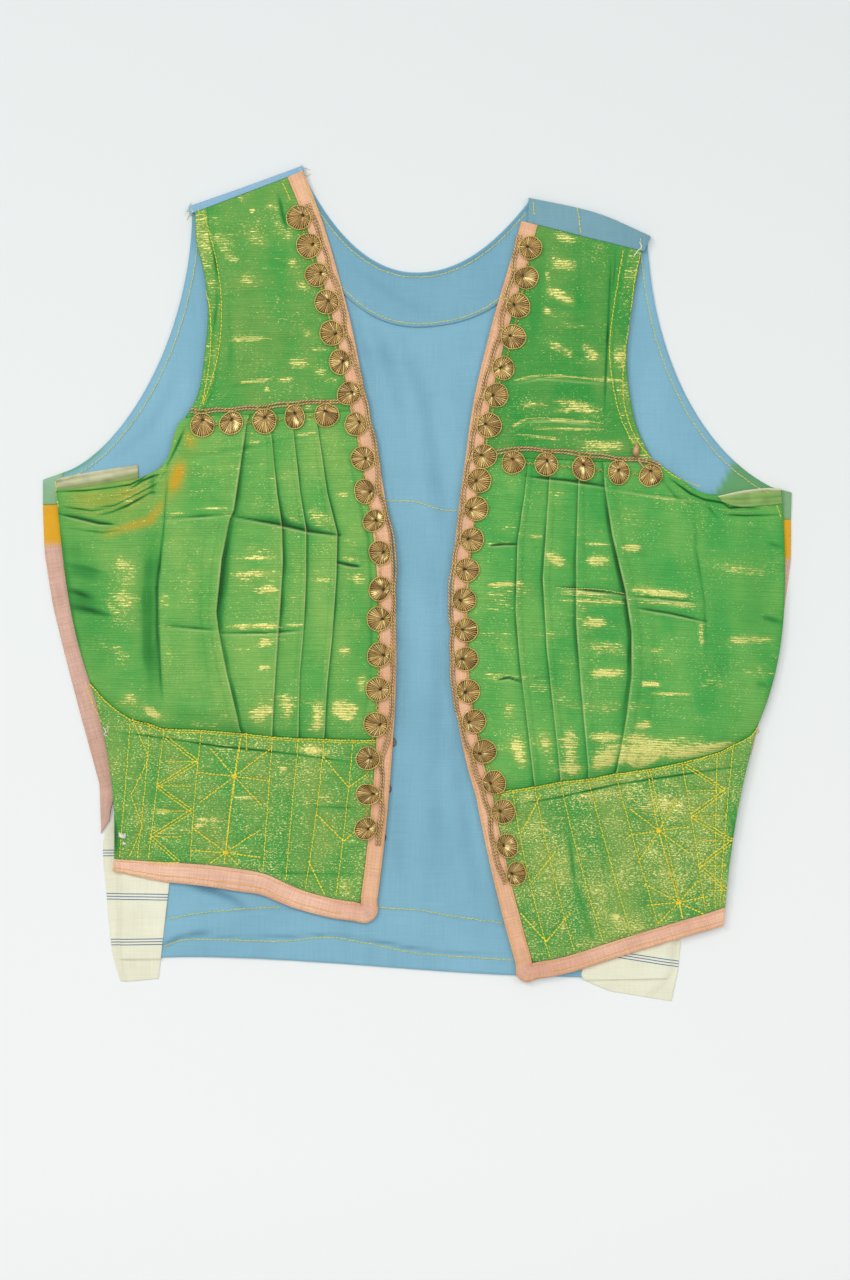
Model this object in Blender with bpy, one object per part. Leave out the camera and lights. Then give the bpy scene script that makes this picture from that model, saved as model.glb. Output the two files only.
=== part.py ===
"""A folk waistcoat with its fronts open, laid flat on its back.

Each piece that a maker would cut is one closed wall. A wall is a grid that is laid out in plan
and given two heights, of its lower and of its upper face, so folds and quilting are raised in
the upper face over a plain inside. Left and right are the viewer's. Tables are in millimetres:
X to the right, Y towards the neck, Z off the table top.
"""

import math
from collections import namedtuple

import bmesh
import bpy
import numpy as np
from mathutils import Vector
from mathutils.bvhtree import BVHTree

MM = 0.001

# Cloth and seams
SEAM = 0.3
BACK_WALL = 1.4
THIN_WALL = 1.0
LAME_WALL = 1.5
ON_BACK = BACK_WALL + SEAM
FRONT_BASE = ON_BACK + THIN_WALL + SEAM
EDGING_TOP = FRONT_BASE + LAME_WALL + 0.4

# Trims
EDGING_WIDTH = 10.5
SIDE_WIDTH = 12.5
SIDE_WALL = FRONT_BASE - SEAM - 0.3
SIDE_STEPS = ((0, 0), (0.8, 0), (1, -0.8))
ARMHOLE_BAND = 8.0
BAND_STEP = 0.6
BAND_RAISE = 0.5
QUILT_RAISE = 1.1
CORD_RADIUS = 1.2
ROSETTE_RADIUS = 7.4
ROSETTE_SIDES = 10
ROSETTE_REACH = 3.8
ROSETTE_GAP = 0.3
STUD_RADIUS = 3.2
STUD_TOP_SHARE = 0.8

# The back. Its sides run down from the underarm, and each row is a place along them.
Side = namedtuple("Side", "x y")
LEFT_SIDE = (
    Side(-219, 69), Side(-219, 47), Side(-218, 20), Side(-213, -11), Side(-206, -40),
    Side(-195, -82), Side(-184, -122), Side(-183, -150), Side(-183, -233),
)
RIGHT_SIDE = (
    Side(220, 60), Side(219.5, 39), Side(219.5, 16), Side(214.5, -22), Side(203, -69),
    Side(195, -105), Side(185, -140), Side(172, -180), Side(160, -212), Side(156, -242),
)
BACK_ROWS = (0, 0.03, 0.065, 0.13, 0.2, 0.26, 0.33, 0.4, 0.47, 0.54, 0.61, 0.68, 0.74, 0.82, 0.9, 1)

# Round stretches of outline, as cubic curves: start, two handles, end.
LEFT_ARMHOLE = ((-219, 69), (-185, 79), (-139, 150), (-139, 232))
RIGHT_ARMHOLE = ((143, 214), (146, 142), (176, 82), (220, 60))
LEFT_NECK = ((-71.4, 256.9), (-50, 212), (-25, 193), (0, 193))
RIGHT_NECK = ((0, 193), (28, 193), (50, 212), (69.5, 237))
BACK_HEM = ((-183, -233), (-90, -224), (40, -250), (156, -242))
LEFT_FACING = ((-100, 236), (-60, 213), (-50, 160), (0, 159))
RIGHT_FACING = ((0, 159), (48, 160), (60, 180), (96, 222))
FACING_ENDS = ((-100, 241), (97, 229))
ARMHOLE_POINTS = 8
NECK_POINTS = 6
FACING_POINTS = 7
HEM_POINTS = 60
NECK_TURN = np.array((0.4, -0.8))
SHOULDER_INSET = np.array((1.2, 0))

# The shoulders. The back's cloth turns over to the front along a fold, down to a seam.
Shoulder = namedtuple("Shoulder", "fold_x fold_y seam_x seam_y")
LEFT_SHOULDER = (
    Shoulder(-141, 234, -140.5, 228.6), Shoulder(-105, 246.6, -105, 242.1),
    Shoulder(-71, 259, -69.5, 255.6),
)
RIGHT_SHOULDER = (
    Shoulder(69.5, 239.3, 69, 223.5), Shoulder(100, 233, 95, 217),
    Shoulder(119, 227.2, 117, 211.5), Shoulder(145, 215.5, 141, 205.5),
)
FOLD_LIP = 1.8
Fold = namedtuple("Fold", "depth under over")
FOLDS = (
    Fold(0, 0.5, 2.2), Fold(0.5, 0, 3.6), Fold(FOLD_LIP - SEAM - 0.15, 0, 4.3),
    Fold(FOLD_LIP - SEAM, FRONT_BASE, FRONT_BASE + LAME_WALL),
)

# The yokes, a row for each section from the armhole to the edging, shoulder first.
Section = namedtuple("Section", "arm_x arm_y edge_x edge_y")
LEFT_YOKE = (
    Section(-137, 229.9, -80, 251.6), Section(-136, 212, -72, 232), Section(-131, 190, -64, 208),
    Section(-129, 167, -54, 172), Section(-131, 142, -48, 146), Section(-135, 118, -43, 120),
    Section(-143, 103, -41, 107),
)
RIGHT_YOKE = (
    Section(139, 206, 75, 222), Section(136, 188, 70, 203), Section(132, 165, 61, 173),
    Section(130, 140, 54, 147), Section(132, 116, 47, 118), Section(137, 95, 43, 95),
    Section(147, 74, 41, 79),
)

# The lines that run down each front, from the side to the edging. Above the waist a lap is a
# pleat's fold edge, with its height, and a dent is a soft groove. Below it each line is stitched.
Line = namedtuple(
    "Line", "top_x top_y upper_x lower_x waist_x waist_y mid_x hem_x hem_y lap dent"
)
LEFT_LINES = (
    Line(-223, 58, -219, -213, -202, -61, -189.5, -187, -170, 0, 0),
    Line(-204, 60, -201, -197, -191, -73, -184.5, -185.6, -170.2, 0, 0),
    Line(-185, 63, -182, -179, -177, -83, -180, -184, -170.5, 0, 0),
    Line(-170, 66, -167, -167, -165, -86, -168, -173, -171, 0, 2.6),
    Line(-155, 76, -159, -160, -156, -89, -161, -166, -171.5, 0, 0),
    Line(-143, 103, -140, -139, -133, -90, -137, -140, -173, 0, 0),
    Line(-103, 104.6, -115, -122, -108, -92, -114, -119, -175, 2.4, 0),
    Line(-91, 105, -83, -85, -89, -94, -92, -95, -179, 1.8, 0),
    Line(-77, 105.6, -69, -69, -73, -95, -77, -81, -185, 1.5, 0),
    Line(-62, 106.2, -50, -51, -57, -95.5, -62, -69, -190, 1.8, 0),
    Line(-50, 106.6, -38, -36, -39, -96, -44, -50, -195, 0, 0),
    Line(-41, 107, -28, -23, -25, -96, -29, -35, -197, 0, 0),
)
RIGHT_LINES = (
    Line(226, 58, 228, 225, 211, -88, 198, 191, -200, 0, 0),
    Line(208, 56, 215, 217, 206, -94, 195.4, 189.4, -200.6, 0, 0),
    Line(191, 55, 201, 204, 196, -99, 191, 187.6, -201.2, 0, 0),
    Line(176, 57, 186, 191, 186, -104, 185, 184.6, -202.2, 0, 0.8),
    Line(162, 66, 170, 176, 164, -110, 172, 179, -204, 0, 0),
    Line(147, 74, 151, 156, 144, -114, 155, 165, -208, 0, 0),
    Line(115, 75.5, 126, 132, 123, -117, 136, 150, -212.5, 2.4, 0),
    Line(101, 76.2, 98, 101, 106, -120, 119, 133, -217.6, 1.6, 0),
    Line(83, 77, 78, 82, 89, -122, 101, 116, -223, 1.5, 0),
    Line(69, 77.7, 61, 64, 73, -125, 84, 98, -228.8, 1.5, 0),
    Line(55, 78.3, 47, 49, 59, -127, 69, 83, -232.6, 0, 0),
    Line(41, 79, 33, 33, 47, -129, 58, 72, -234, 0, 0),
)
YOKE_FIRST_LINE = 5
LAP_STEPS = ((0, 1), (0.09, 0), (0.55, 0.55))
FLAT_STEPS = ((0, 0), (0.5, 0.5))
BUST_ROWS = (0, 0.08, 0.18, 0.3, 0.42, 0.54, 0.66, 0.77, 0.87, 0.95, 1)
BAND_ROWS = (0, 0.06, 0.25, 0.5, 0.75, 1)
QUILT_STEPS = ((0, 0), (0.28, 1), (0.72, 1))

# How high a front stands off the back along its middle: station 0 is the shoulder, 1 the yoke's
# seam, 2 the waist seam and 3 the hem.
Rise = namedtuple("Rise", "station height")
RISES = (
    Rise(0, 0), Rise(0.5, 2), Rise(1, 0), Rise(1.18, 1.6), Rise(1.42, 4), Rise(1.66, 6),
    Rise(1.87, 6.6), Rise(1.95, 4.4), Rise(2, 1.2), Rise(2.06, 0.6), Rise(2.5, 1.5), Rise(3, 0),
)
LIFT_POWER = 0.75
LAP_HOLD = ((0, 0.35), (0.18, 1), (0.87, 1), (1, 0.5))

# The edging's width round the hem, from the front corner to the side.
LEFT_HEM_WIDTHS = ((0, 12), (0.2, 12), (0.5, 14), (0.8, 12.5), (1, 7.5))
RIGHT_HEM_WIDTHS = ((0, 10.5), (0.5, 10.5), (1, 10.5))
CORNER_TURNS = (0.2, 0.5, 0.8)
CORNER_INNER = 0.9
CORNER_BULGE = 0.28
END_TRIM = 0.05
EDGING_STEPS = ((0, -0.1), (0.14, 0), (0.86, 0), (1, -1.1))

# The tails. Each row is a section from the outer to the inner edge, and the tail lies on the
# back's own edge with its inner part and on the table with the rest.
Tail = namedtuple("Tail", "outer_x outer_y brink_x brink_y inner_x inner_y")
LEFT_TAIL = (
    Tail(-188.2, -145.4, -184.2, -146.5, -150, -146), Tail(-194.2, -161, -184.2, -163, -151, -165),
    Tail(-192, -193, -184.2, -190, -153, -185), Tail(-190, -215, -184.2, -213, -156, -211),
    Tail(-187.6, -232, -184.2, -233.4, -158.5, -233.2),
)
LEFT_TAIL_HEM = (
    Tail(-187, -233.6, -184, -234.8, -159, -234.6), Tail(-183.5, -246, -181, -246.4, -160, -244.5),
)
RIGHT_TAIL = (
    Tail(169, -196, 166.8, -196, 107, -212), Tail(165.3, -212, 161.6, -212, 106, -224),
    Tail(163, -228, 159, -229, 104.5, -234), Tail(162, -239, 157.4, -242.5, 103, -244.1),
)
RIGHT_TAIL_HEM = (
    Tail(162, -241, 157.2, -244, 105, -245.4), Tail(158, -258.6, 143, -256, 119, -252),
)
TAIL_STEP = 0.9

# The cream lining where it shows above each front's underarm edge: top and bottom.
Strip = namedtuple("Strip", "x top_y bottom_y")
LEFT_LINING = (Strip(-218, 66, 56), Strip(-196, 69.5, 58), Strip(-173, 74, 62))
RIGHT_LINING = (Strip(190, 56.6, 50), Strip(204, 58, 51), Strip(219, 59.4, 52))

# Underarm patches and side bindings, by their place along the back's side.
PATCH_ROWS = BACK_ROWS[:3]
LEFT_BINDING_ROWS = BACK_ROWS[2:13]
RIGHT_BINDING_ROWS = BACK_ROWS[2:10]
LEFT_BINDING_TAPER = ((-2, (-187.5, -137)), (-1, (-190.5, -146)))
TAPER_SHARE = 0.6

# Rosette centres, down each front edge and across each front under its yoke.
LEFT_EDGE_ROSETTES = (
    (-73, 226), (-67, 209), (-62, 191), (-55, 174), (-52, 155), (-47, 137), (-42, 118),
    (-38, 99), (-33, 78), (-32, 57), (-26, 39), (-23, 19), (-23, -3), (-23, -22), (-23, -44),
    (-24, -65), (-25, -87), (-30, -108), (-30, -130), (-31, -151),
)
RIGHT_EDGE_ROSETTES = (
    (70, 208), (68, 189), (63, 172), (60, 153), (54, 133), (49, 117), (45, 98), (42, 79),
    (39, 63.5), (37, 46), (34, 27), (31, 9), (29, -10), (31, -29), (31, -46), (32, -66),
    (36, -85), (42, -104), (48, -123), (54, -141), (56, -162), (62, -179),
)
LEFT_ROW_ROSETTES = ((-132, 98), (-114, 99), (-94, 100), (-75, 103), (-56, 104))
RIGHT_ROW_ROSETTES = ((60, 75), (80, 74), (103, 71), (125, 69), (145, 67))
ROSETTE_PROFILE = ((0, 0.9), (0.58, 2.3), (1, 1.3), (0.94, 0), (0, 0))
LEFT_CORD_ENDS = ((-68, 235), (-24, -158))
RIGHT_CORD_ENDS = ((64, 216), (55, -184))
LEFT_ROW_ENDS = ((-140, 107), (-53, 112))
RIGHT_ROW_ENDS = ((55, 84), (151, 73))
LEFT_STUDS = ((-15.6, -98), (-18.6, -127), (-21.8, -157))

FINISHES = {
    "blue_cotton": ((0.22, 0.45, 0.58), 0.85, 0.0),
    "green_lame": ((0.13, 0.36, 0.09), 0.45, 0.3),
    "pink_binding": ((0.80, 0.47, 0.33), 0.85, 0.0),
    "cream_cotton": ((0.84, 0.84, 0.68), 0.9, 0.0),
    "patch_cotton": ((0.26, 0.42, 0.22), 0.85, 0.0),
    "gilt_trim": ((0.45, 0.32, 0.12), 0.35, 0.9),
    "dark_metal": ((0.06, 0.06, 0.07), 0.4, 0.8),
}


def clear_scene():
    """Removes every object of the file."""
    for thing in list(bpy.data.objects):
        bpy.data.objects.remove(thing, do_unlink=True)


def collection(name):
    """Returns a new collection in the scene."""
    group = bpy.data.collections.new(name)
    bpy.context.scene.collection.children.link(group)
    return group


def material(name, finish):
    """Returns a new material for one piece, with the base values of a finish."""
    colour, roughness, metallic = FINISHES[finish]
    made = bpy.data.materials.new(name)
    made.use_nodes = True
    shader = made.node_tree.nodes["Principled BSDF"]
    shader.inputs["Base Color"].default_value = (*colour, 1.0)
    shader.inputs["Roughness"].default_value = roughness
    shader.inputs["Metallic"].default_value = metallic
    return made


def curve(handles, count):
    """Returns points along a cubic curve, its ends among them."""
    start, first, second, end = (np.array(point, float) for point in handles)
    along = np.linspace(0, 1, count)[:, None]
    back = 1 - along
    return back**3 * start + 3 * back**2 * along * first + 3 * back * along**2 * second + along**3 * end


def eased(table, place):
    """Reads a table of (place, value) rows at a place, straight between its rows."""
    places, values = zip(*table)
    return float(np.interp(place, places, values))


def halved(rows):
    """Adds a row half way between each two, on a smooth curve through them all."""
    rows = np.array(rows, float)
    padded = np.vstack([2 * rows[0] - rows[1], rows, 2 * rows[-1] - rows[-2]])
    between = (9 * (padded[1:-2] + padded[2:-1]) - padded[:-3] - padded[3:]) / 16
    out = np.empty((2 * len(rows) - 1, rows.shape[1]))
    out[0::2] = rows
    out[1::2] = between
    return out


def side_point(side, row):
    """The point of the back's side edge at a row, where row 1 is the hem."""
    x, y = np.array(side, float).T
    height = y[0] + (y[-1] - y[0]) * row
    return np.array([np.interp(-height, -y, x), height])


def seam_trimmed(plan):
    """Draws the grid's four sides in by half a seam, so that neighbours stay apart."""
    trimmed = plan.copy()
    for edge, inner in ((0, 1), (-1, -2)):
        for outline, line in ((trimmed[edge], plan[inner] - plan[edge]),
                              (trimmed[:, edge], plan[:, inner] - plan[:, edge])):
            outline += line / np.linalg.norm(line, axis=1)[:, None] * SEAM / 2
    return trimmed


class Maker:
    """Adds pieces to the waistcoat's collection and remembers their faces."""

    def __init__(self):
        self.pieces = collection("waistcoat")
        self.cutters = collection("cutters")
        self.faces = []

    def add(self, name, mesh, finish):
        """Makes one object from a bmesh."""
        data = bpy.data.meshes.new(name)
        bmesh.ops.recalc_face_normals(mesh, faces=mesh.faces)
        mesh.to_mesh(data)
        self.faces.append(BVHTree.FromBMesh(mesh))
        mesh.free()
        piece = bpy.data.objects.new(name, data)
        data.materials.append(material(name, finish))
        self.pieces.objects.link(piece)
        return piece

    def wall(self, name, plan, under, over, finish):
        """Makes a wall from a grid in plan and the heights of its two faces."""
        plan = seam_trimmed(np.array(plan, float))
        across, along = under.shape
        mesh = bmesh.new()
        bmesh.ops.create_grid(mesh, x_segments=across - 1, y_segments=along - 1, size=1)
        raised = bmesh.ops.extrude_face_region(mesh, geom=mesh.faces[:])["geom"]
        raised = {item for item in raised if isinstance(item, bmesh.types.BMVert)}
        for point in mesh.verts:
            i = round((point.co.x + 1) / 2 * (across - 1))
            j = round((point.co.y + 1) / 2 * (along - 1))
            height = over[i, j] if point in raised else under[i, j]
            point.co = Vector((*plan[i, j], height)) * MM
        return self.add(name, mesh, finish)

    def rest(self, x, y, reach, layers=None):
        """The height of the highest cloth within reach of a place, of all pieces or of some."""
        highest = 0.0
        down = Vector((0, 0, -1))
        for turn in range(9):
            span = reach if turn else 0
            angle = turn * math.tau / 8
            start = Vector((x + span * math.cos(angle), y + span * math.sin(angle), 100)) * MM
            for tree in layers or self.faces:
                hit = tree.ray_cast(start, down)[0]
                if hit:
                    highest = max(highest, hit.z / MM)
        return highest


def back_outline():
    """The back's upper outline, from the left underarm round to the right one."""
    lip = np.array([0.0, -FOLD_LIP])
    left = np.array([(row.fold_x, row.fold_y) for row in LEFT_SHOULDER]) + lip
    right = np.array([(row.fold_x, row.fold_y) for row in RIGHT_SHOULDER]) + lip
    return np.vstack([
        curve(LEFT_ARMHOLE, ARMHOLE_POINTS)[:-1], left[:1] + SHOULDER_INSET, left[1:2],
        curve(LEFT_NECK, NECK_POINTS)[:-1], curve(RIGHT_NECK, NECK_POINTS), right[1:3],
        right[3:] - SHOULDER_INSET, curve(RIGHT_ARMHOLE, ARMHOLE_POINTS)[1:],
    ])


def make_back(maker):
    """The back panel, flat on the table."""
    top = back_outline()
    hem_line = curve(BACK_HEM, HEM_POINTS)
    span = (top[:, 0] - top[0, 0]) / (top[-1, 0] - top[0, 0])
    hem_x = hem_line[0, 0] + span * (hem_line[-1, 0] - hem_line[0, 0])
    hem = np.stack([hem_x, np.interp(hem_x, *hem_line.T)], axis=1)
    plan = []
    for row in BACK_ROWS:
        line = top + (hem - top) * row
        for side, share, end in ((LEFT_SIDE, 1 - span, 0), (RIGHT_SIDE, span, -1)):
            line = line + share[:, None] * (side_point(side, row) - line[end])
        plan.append(line)
    plan = np.stack(plan, axis=1)
    under = np.zeros(plan.shape[:2])
    maker.wall("back", plan, under, under + BACK_WALL, "blue_cotton")


def make_facing(maker):
    """The shaped band that lies on the back round the neck."""
    neck = np.vstack([
        FACING_ENDS[:1], curve(LEFT_NECK, NECK_POINTS)[:-1] + NECK_TURN * (-1, 1),
        curve(RIGHT_NECK, NECK_POINTS) + NECK_TURN, FACING_ENDS[1:],
    ])
    low = np.vstack([curve(LEFT_FACING, FACING_POINTS)[:-1], curve(RIGHT_FACING, FACING_POINTS)])
    plan = np.stack([neck, (neck + low) / 2, low], axis=1)
    under = np.full(plan.shape[:2], ON_BACK)
    maker.wall("back_neck_facing", plan, under, under + THIN_WALL, "blue_cotton")


def make_shoulder(maker, name, rows):
    """The back's cloth where it turns over the fold and lies down to the shoulder seam."""
    rows = halved(rows)
    fold, seam = rows[:, :2], rows[:, 2:]
    inward = (seam - fold) / np.linalg.norm(seam - fold, axis=1)[:, None]
    plan = np.stack([fold + inward * step.depth for step in FOLDS] + [seam])
    heights = np.array([(step.under, step.over) for step in (*FOLDS, FOLDS[-1])])
    under, over = (np.repeat(side[:, None], len(rows), axis=1) for side in heights.T)
    maker.wall(name, plan, under, over, "blue_cotton")


def lift(share, station):
    """How far a front stands off the back, at a share of its width and a station of its length."""
    return eased(RISES, station) * max(math.sin(math.pi * share), 0) ** LIFT_POWER


def yoke_plan(sections, lines):
    """A grid across the yoke whose lowest row lies on the pleated front's own seam points."""
    rows = halved(sections)
    tops = np.array([(line.top_x, line.top_y) for line in lines[YOKE_FIRST_LINE:]])
    lengths = np.linalg.norm(tops - tops[0], axis=1)
    shares = lengths / lengths[-1]
    plan = np.array([rows[:, :2] + (rows[:, 2:] - rows[:, :2]) * share for share in shares])
    plan[:, -1] = tops
    across = plan[1] - plan[0]
    across = across / np.linalg.norm(across, axis=1)[:, None]
    folds = [plan[0] + across * depth for depth in (ARMHOLE_BAND, ARMHOLE_BAND + BAND_STEP)]
    return np.concatenate([plan[:1], folds, plan[1:]])


def make_yoke(maker, name, plan):
    """The upper front, with the band that is stitched down along its armhole."""
    across, along = plan.shape[:2]
    width = np.linalg.norm(plan - plan[:1], axis=2)
    under = np.empty((across, along))
    for i in range(across):
        for j in range(along):
            under[i, j] = FRONT_BASE + lift(width[i, j] / width[-1, j], j / (along - 1))
    over = under + LAME_WALL
    over[:2] += BAND_RAISE
    maker.wall(name, plan, under, over, "green_lame")


def front_columns(lines, steps):
    """The columns of a front: for each its line, its share of the way to the next, its height."""
    columns = []
    for index in range(len(lines) - 1):
        columns += [(index, share, value) for share, value in steps[index]]
    return columns + [(len(lines) - 1, 0, 0)]


def line_point(lines, index, row, part):
    """A point of one line at a row of the pleated front or of the band below the waist."""
    line = lines[index]
    if part == "bust":
        places = (0, 1 / 3, 2 / 3, 1)
        xs = (line.top_x, line.upper_x, line.lower_x, line.waist_x)
        x = np.polyval(np.polyfit(places, xs, 3), row)
        return np.array([x, line.top_y + (line.waist_y - line.top_y) * row])
    x = np.polyval(np.polyfit((0, 0.5, 1), (line.waist_x, line.mid_x, line.hem_x), 2), row)
    return np.array([x, line.waist_y + (line.hem_y - line.waist_y) * row])


def column_plan(lines, columns, rows, part):
    """A front's grid in plan: straight between neighbouring lines, curved along each."""
    plan = np.empty((len(columns), len(rows), 2))
    for i, (index, share, _) in enumerate(columns):
        for j, row in enumerate(rows):
            plan[i, j] = line_point(lines, index, row, part)
            if share:
                plan[i, j] += (line_point(lines, index + 1, row, part) - plan[i, j]) * share
    return plan


def make_bust(maker, name, lines):
    """The pleated front: each pleat laps over the next, with its fold towards the middle."""
    last = len(lines) - 1
    columns = front_columns(lines, [LAP_STEPS if line.lap else FLAT_STEPS for line in lines])
    plan = column_plan(lines, columns, BUST_ROWS, "bust")
    under = np.empty(plan.shape[:2])
    over = np.empty(plan.shape[:2])
    for i, (index, share, value) in enumerate(columns):
        dent = np.interp(index + share, range(last + 1), [line.dent for line in lines])
        lap = lines[index + 1].lap * value if share else lines[index].lap
        for j, row in enumerate(BUST_ROWS):
            sunk = dent * math.sin(math.pi * row)
            lifted = lift((index + share) / last, 1 + row)
            under[i, j] = FRONT_BASE + max(lifted - sunk, 0)
            over[i, j] = under[i, j] + LAME_WALL + lap * eased(LAP_HOLD, row)
    maker.wall(name, plan, under, over, "green_lame")
    return plan


def make_band(maker, name, lines):
    """The lower front, quilted in channels between its stitched lines."""
    columns = front_columns(lines, [QUILT_STEPS] * len(lines))
    plan = column_plan(lines, columns, BAND_ROWS, "band")
    under = np.empty(plan.shape[:2])
    over = np.empty(plan.shape[:2])
    for i, (index, share, value) in enumerate(columns):
        for j, row in enumerate(BAND_ROWS):
            lifted = lift((index + share) / (len(lines) - 1), 2 + row)
            held = 0.0 if row in (0, 1) else 1.0
            under[i, j] = FRONT_BASE + lifted
            over[i, j] = under[i, j] + LAME_WALL + QUILT_RAISE * value * held
    maker.wall(name, plan, under, over, "green_lame")
    return plan


def turned(line, hand):
    """The unit direction out of a front, square to a stretch of its outline."""
    out = np.array([-line[1], line[0]]) * hand
    return out / np.linalg.norm(out)


def make_edging(maker, name, edge, hem, hem_widths, hand, layers):
    """The binding down the front edge, round the corner and along the hem, on what lies below."""
    stations = []
    for k, point in enumerate(edge):
        line = edge[min(k + 1, len(edge) - 1)] - edge[max(k - 1, 0)]
        stations.append((point, turned(line, hand), EDGING_WIDTH))
    along = np.linspace(0, 1, len(hem))
    after = []
    for k, point in enumerate(hem):
        line = hem[min(k + 1, len(hem) - 1)] - hem[max(k - 1, 0)]
        after.append((point, turned(line, hand), eased(hem_widths, along[k])))
    before, ahead = stations[-1], after[0]
    corner = []
    for turn in CORNER_TURNS:
        out = before[1] * (1 - turn) + ahead[1] * turn
        out = out / np.linalg.norm(out)
        width = before[2] + (ahead[2] - before[2]) * turn
        reach = width * (1 + CORNER_BULGE * math.sin(math.pi * turn))
        corner.append((edge[-1] + out * CORNER_INNER, out, reach - CORNER_INNER))
    stations[0] = (edge[0] + (edge[1] - edge[0]) * END_TRIM, *stations[0][1:])
    stations[-1] = (edge[-1] + (edge[-2] - edge[-1]) * END_TRIM, *before[1:])
    after[0] = (hem[0] + (hem[1] - hem[0]) * END_TRIM, *ahead[1:])
    stations += corner + after
    plan = np.empty((len(EDGING_STEPS), len(stations), 2))
    under = np.empty(plan.shape[:2])
    over = np.empty(plan.shape[:2])
    for j, (point, out, width) in enumerate(stations):
        places = [point + out * width * share for share in (0.1, 0.9)]
        beneath = max(maker.rest(*place, 7, layers) for place in places)
        for i, (share, drop) in enumerate(EDGING_STEPS):
            plan[i, j] = point + out * width * share
            under[i, j] = max(FRONT_BASE, beneath + SEAM)
            over[i, j] = EDGING_TOP + drop
    maker.wall(name, plan, under, over, "pink_binding")


def make_side_strip(maker, name, side, rows, hand, finish, taper=()):
    """A strip outside the back's side edge: the underarm patch or the side binding."""
    inner = np.array([side_point(side, row) for row in rows])
    lines = np.gradient(inner, axis=0)
    plan = np.empty((len(SIDE_STEPS), len(rows), 2))
    over = np.empty(plan.shape[:2])
    for j, line in enumerate(lines):
        out = turned(line, hand)
        for i, (share, drop) in enumerate(SIDE_STEPS):
            plan[i, j] = inner[j] + out * (SIDE_WIDTH * share)
            over[i, j] = SIDE_WALL + drop
    for j, point in taper:
        plan[0, j] = point
        plan[1, j] = plan[0, j] + (plan[2, j] - plan[0, j]) * TAPER_SHARE
    maker.wall(name, plan, np.zeros(plan.shape[:2]), over, finish)


def make_lining(maker, name, strips):
    """The lining's edge between the back and the front, at an underarm."""
    rows = halved(strips)
    plan = np.array([[(x, top), (x, bottom)] for x, top, bottom in rows])
    under = np.full(plan.shape[:2], ON_BACK)
    maker.wall(name, plan, under, under + THIN_WALL, "cream_cotton")


def make_tail(maker, name, rows, hem_rows, inward):
    """A tail of lining cloth that hangs out past the hem, partly on the back."""
    sections = np.array(rows + hem_rows, float)
    outer, brink, inner = sections[:, :2], sections[:, 2:4], sections[:, 4:]
    step = np.array([inward * TAIL_STEP, 0])
    plan = np.stack([outer, brink, brink + step, (brink + inner) / 2, inner])
    under = np.zeros(plan.shape[:2])
    under[2:, : len(rows)] = ON_BACK
    maker.wall(name, plan, under, under + THIN_WALL, "cream_cotton")


def make_stud(maker, name, place):
    """A small fastener sewn under the edging, half of it in sight."""
    mesh = bmesh.new()
    bmesh.ops.create_cone(mesh, cap_ends=True, segments=12, radius1=STUD_RADIUS * MM,
                          radius2=STUD_RADIUS * STUD_TOP_SHARE * MM, depth=THIN_WALL * MM)
    middle = Vector((*place, ON_BACK + THIN_WALL / 2)) * MM
    bmesh.ops.translate(mesh, verts=mesh.verts, vec=middle)
    maker.add(name, mesh, "dark_metal")


def shape_disc(maker, disc, centre):
    """Turns a unit ball's points into a dished disc that follows the cloth under it."""
    rings = len(ROSETTE_PROFILE) - 1
    for point in disc:
        polar = math.acos(max(-1, min(1, point.co.z)))
        radius, height = ROSETTE_PROFILE[round(polar / math.pi * rings)]
        angle = math.atan2(point.co.y, point.co.x)
        x = centre[0] + math.cos(angle) * radius * ROSETTE_RADIUS
        y = centre[1] + math.sin(angle) * radius * ROSETTE_RADIUS
        height += maker.rest(x, y, ROSETTE_REACH) + SEAM
        point.co = Vector((x, y, height)) * MM


def make_rosettes(maker, name, centres, hand, ends):
    """A cord sewn to the cloth, with a dished rosette hung from it at each centre."""
    centres = np.array(centres, float)
    outs = np.array([turned(line, hand) for line in np.gradient(centres, axis=0)])
    route = np.vstack([ends[:1], centres + outs * (ROSETTE_RADIUS + ROSETTE_GAP), ends[1:]])
    discs = bmesh.new()
    for centre in centres:
        disc = bmesh.ops.create_uvsphere(
            discs, u_segments=ROSETTE_SIDES, v_segments=len(ROSETTE_PROFILE) - 1, radius=1
        )
        shape_disc(maker, disc["verts"], centre)
    bmesh.ops.recalc_face_normals(discs, faces=discs.faces)
    disc_data = bpy.data.meshes.new(name + "_discs")
    discs.to_mesh(disc_data)
    discs.free()
    disc_object = bpy.data.objects.new(name + "_discs", disc_data)
    disc_object.hide_render = True
    disc_object.display_type = "WIRE"
    maker.cutters.objects.link(disc_object)
    trim = cord_mesh(maker, name, halved(route))
    union = trim.modifiers.new("Rosettes", "BOOLEAN")
    union.operation = "UNION"
    union.solver = "EXACT"
    union.object = disc_object


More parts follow.
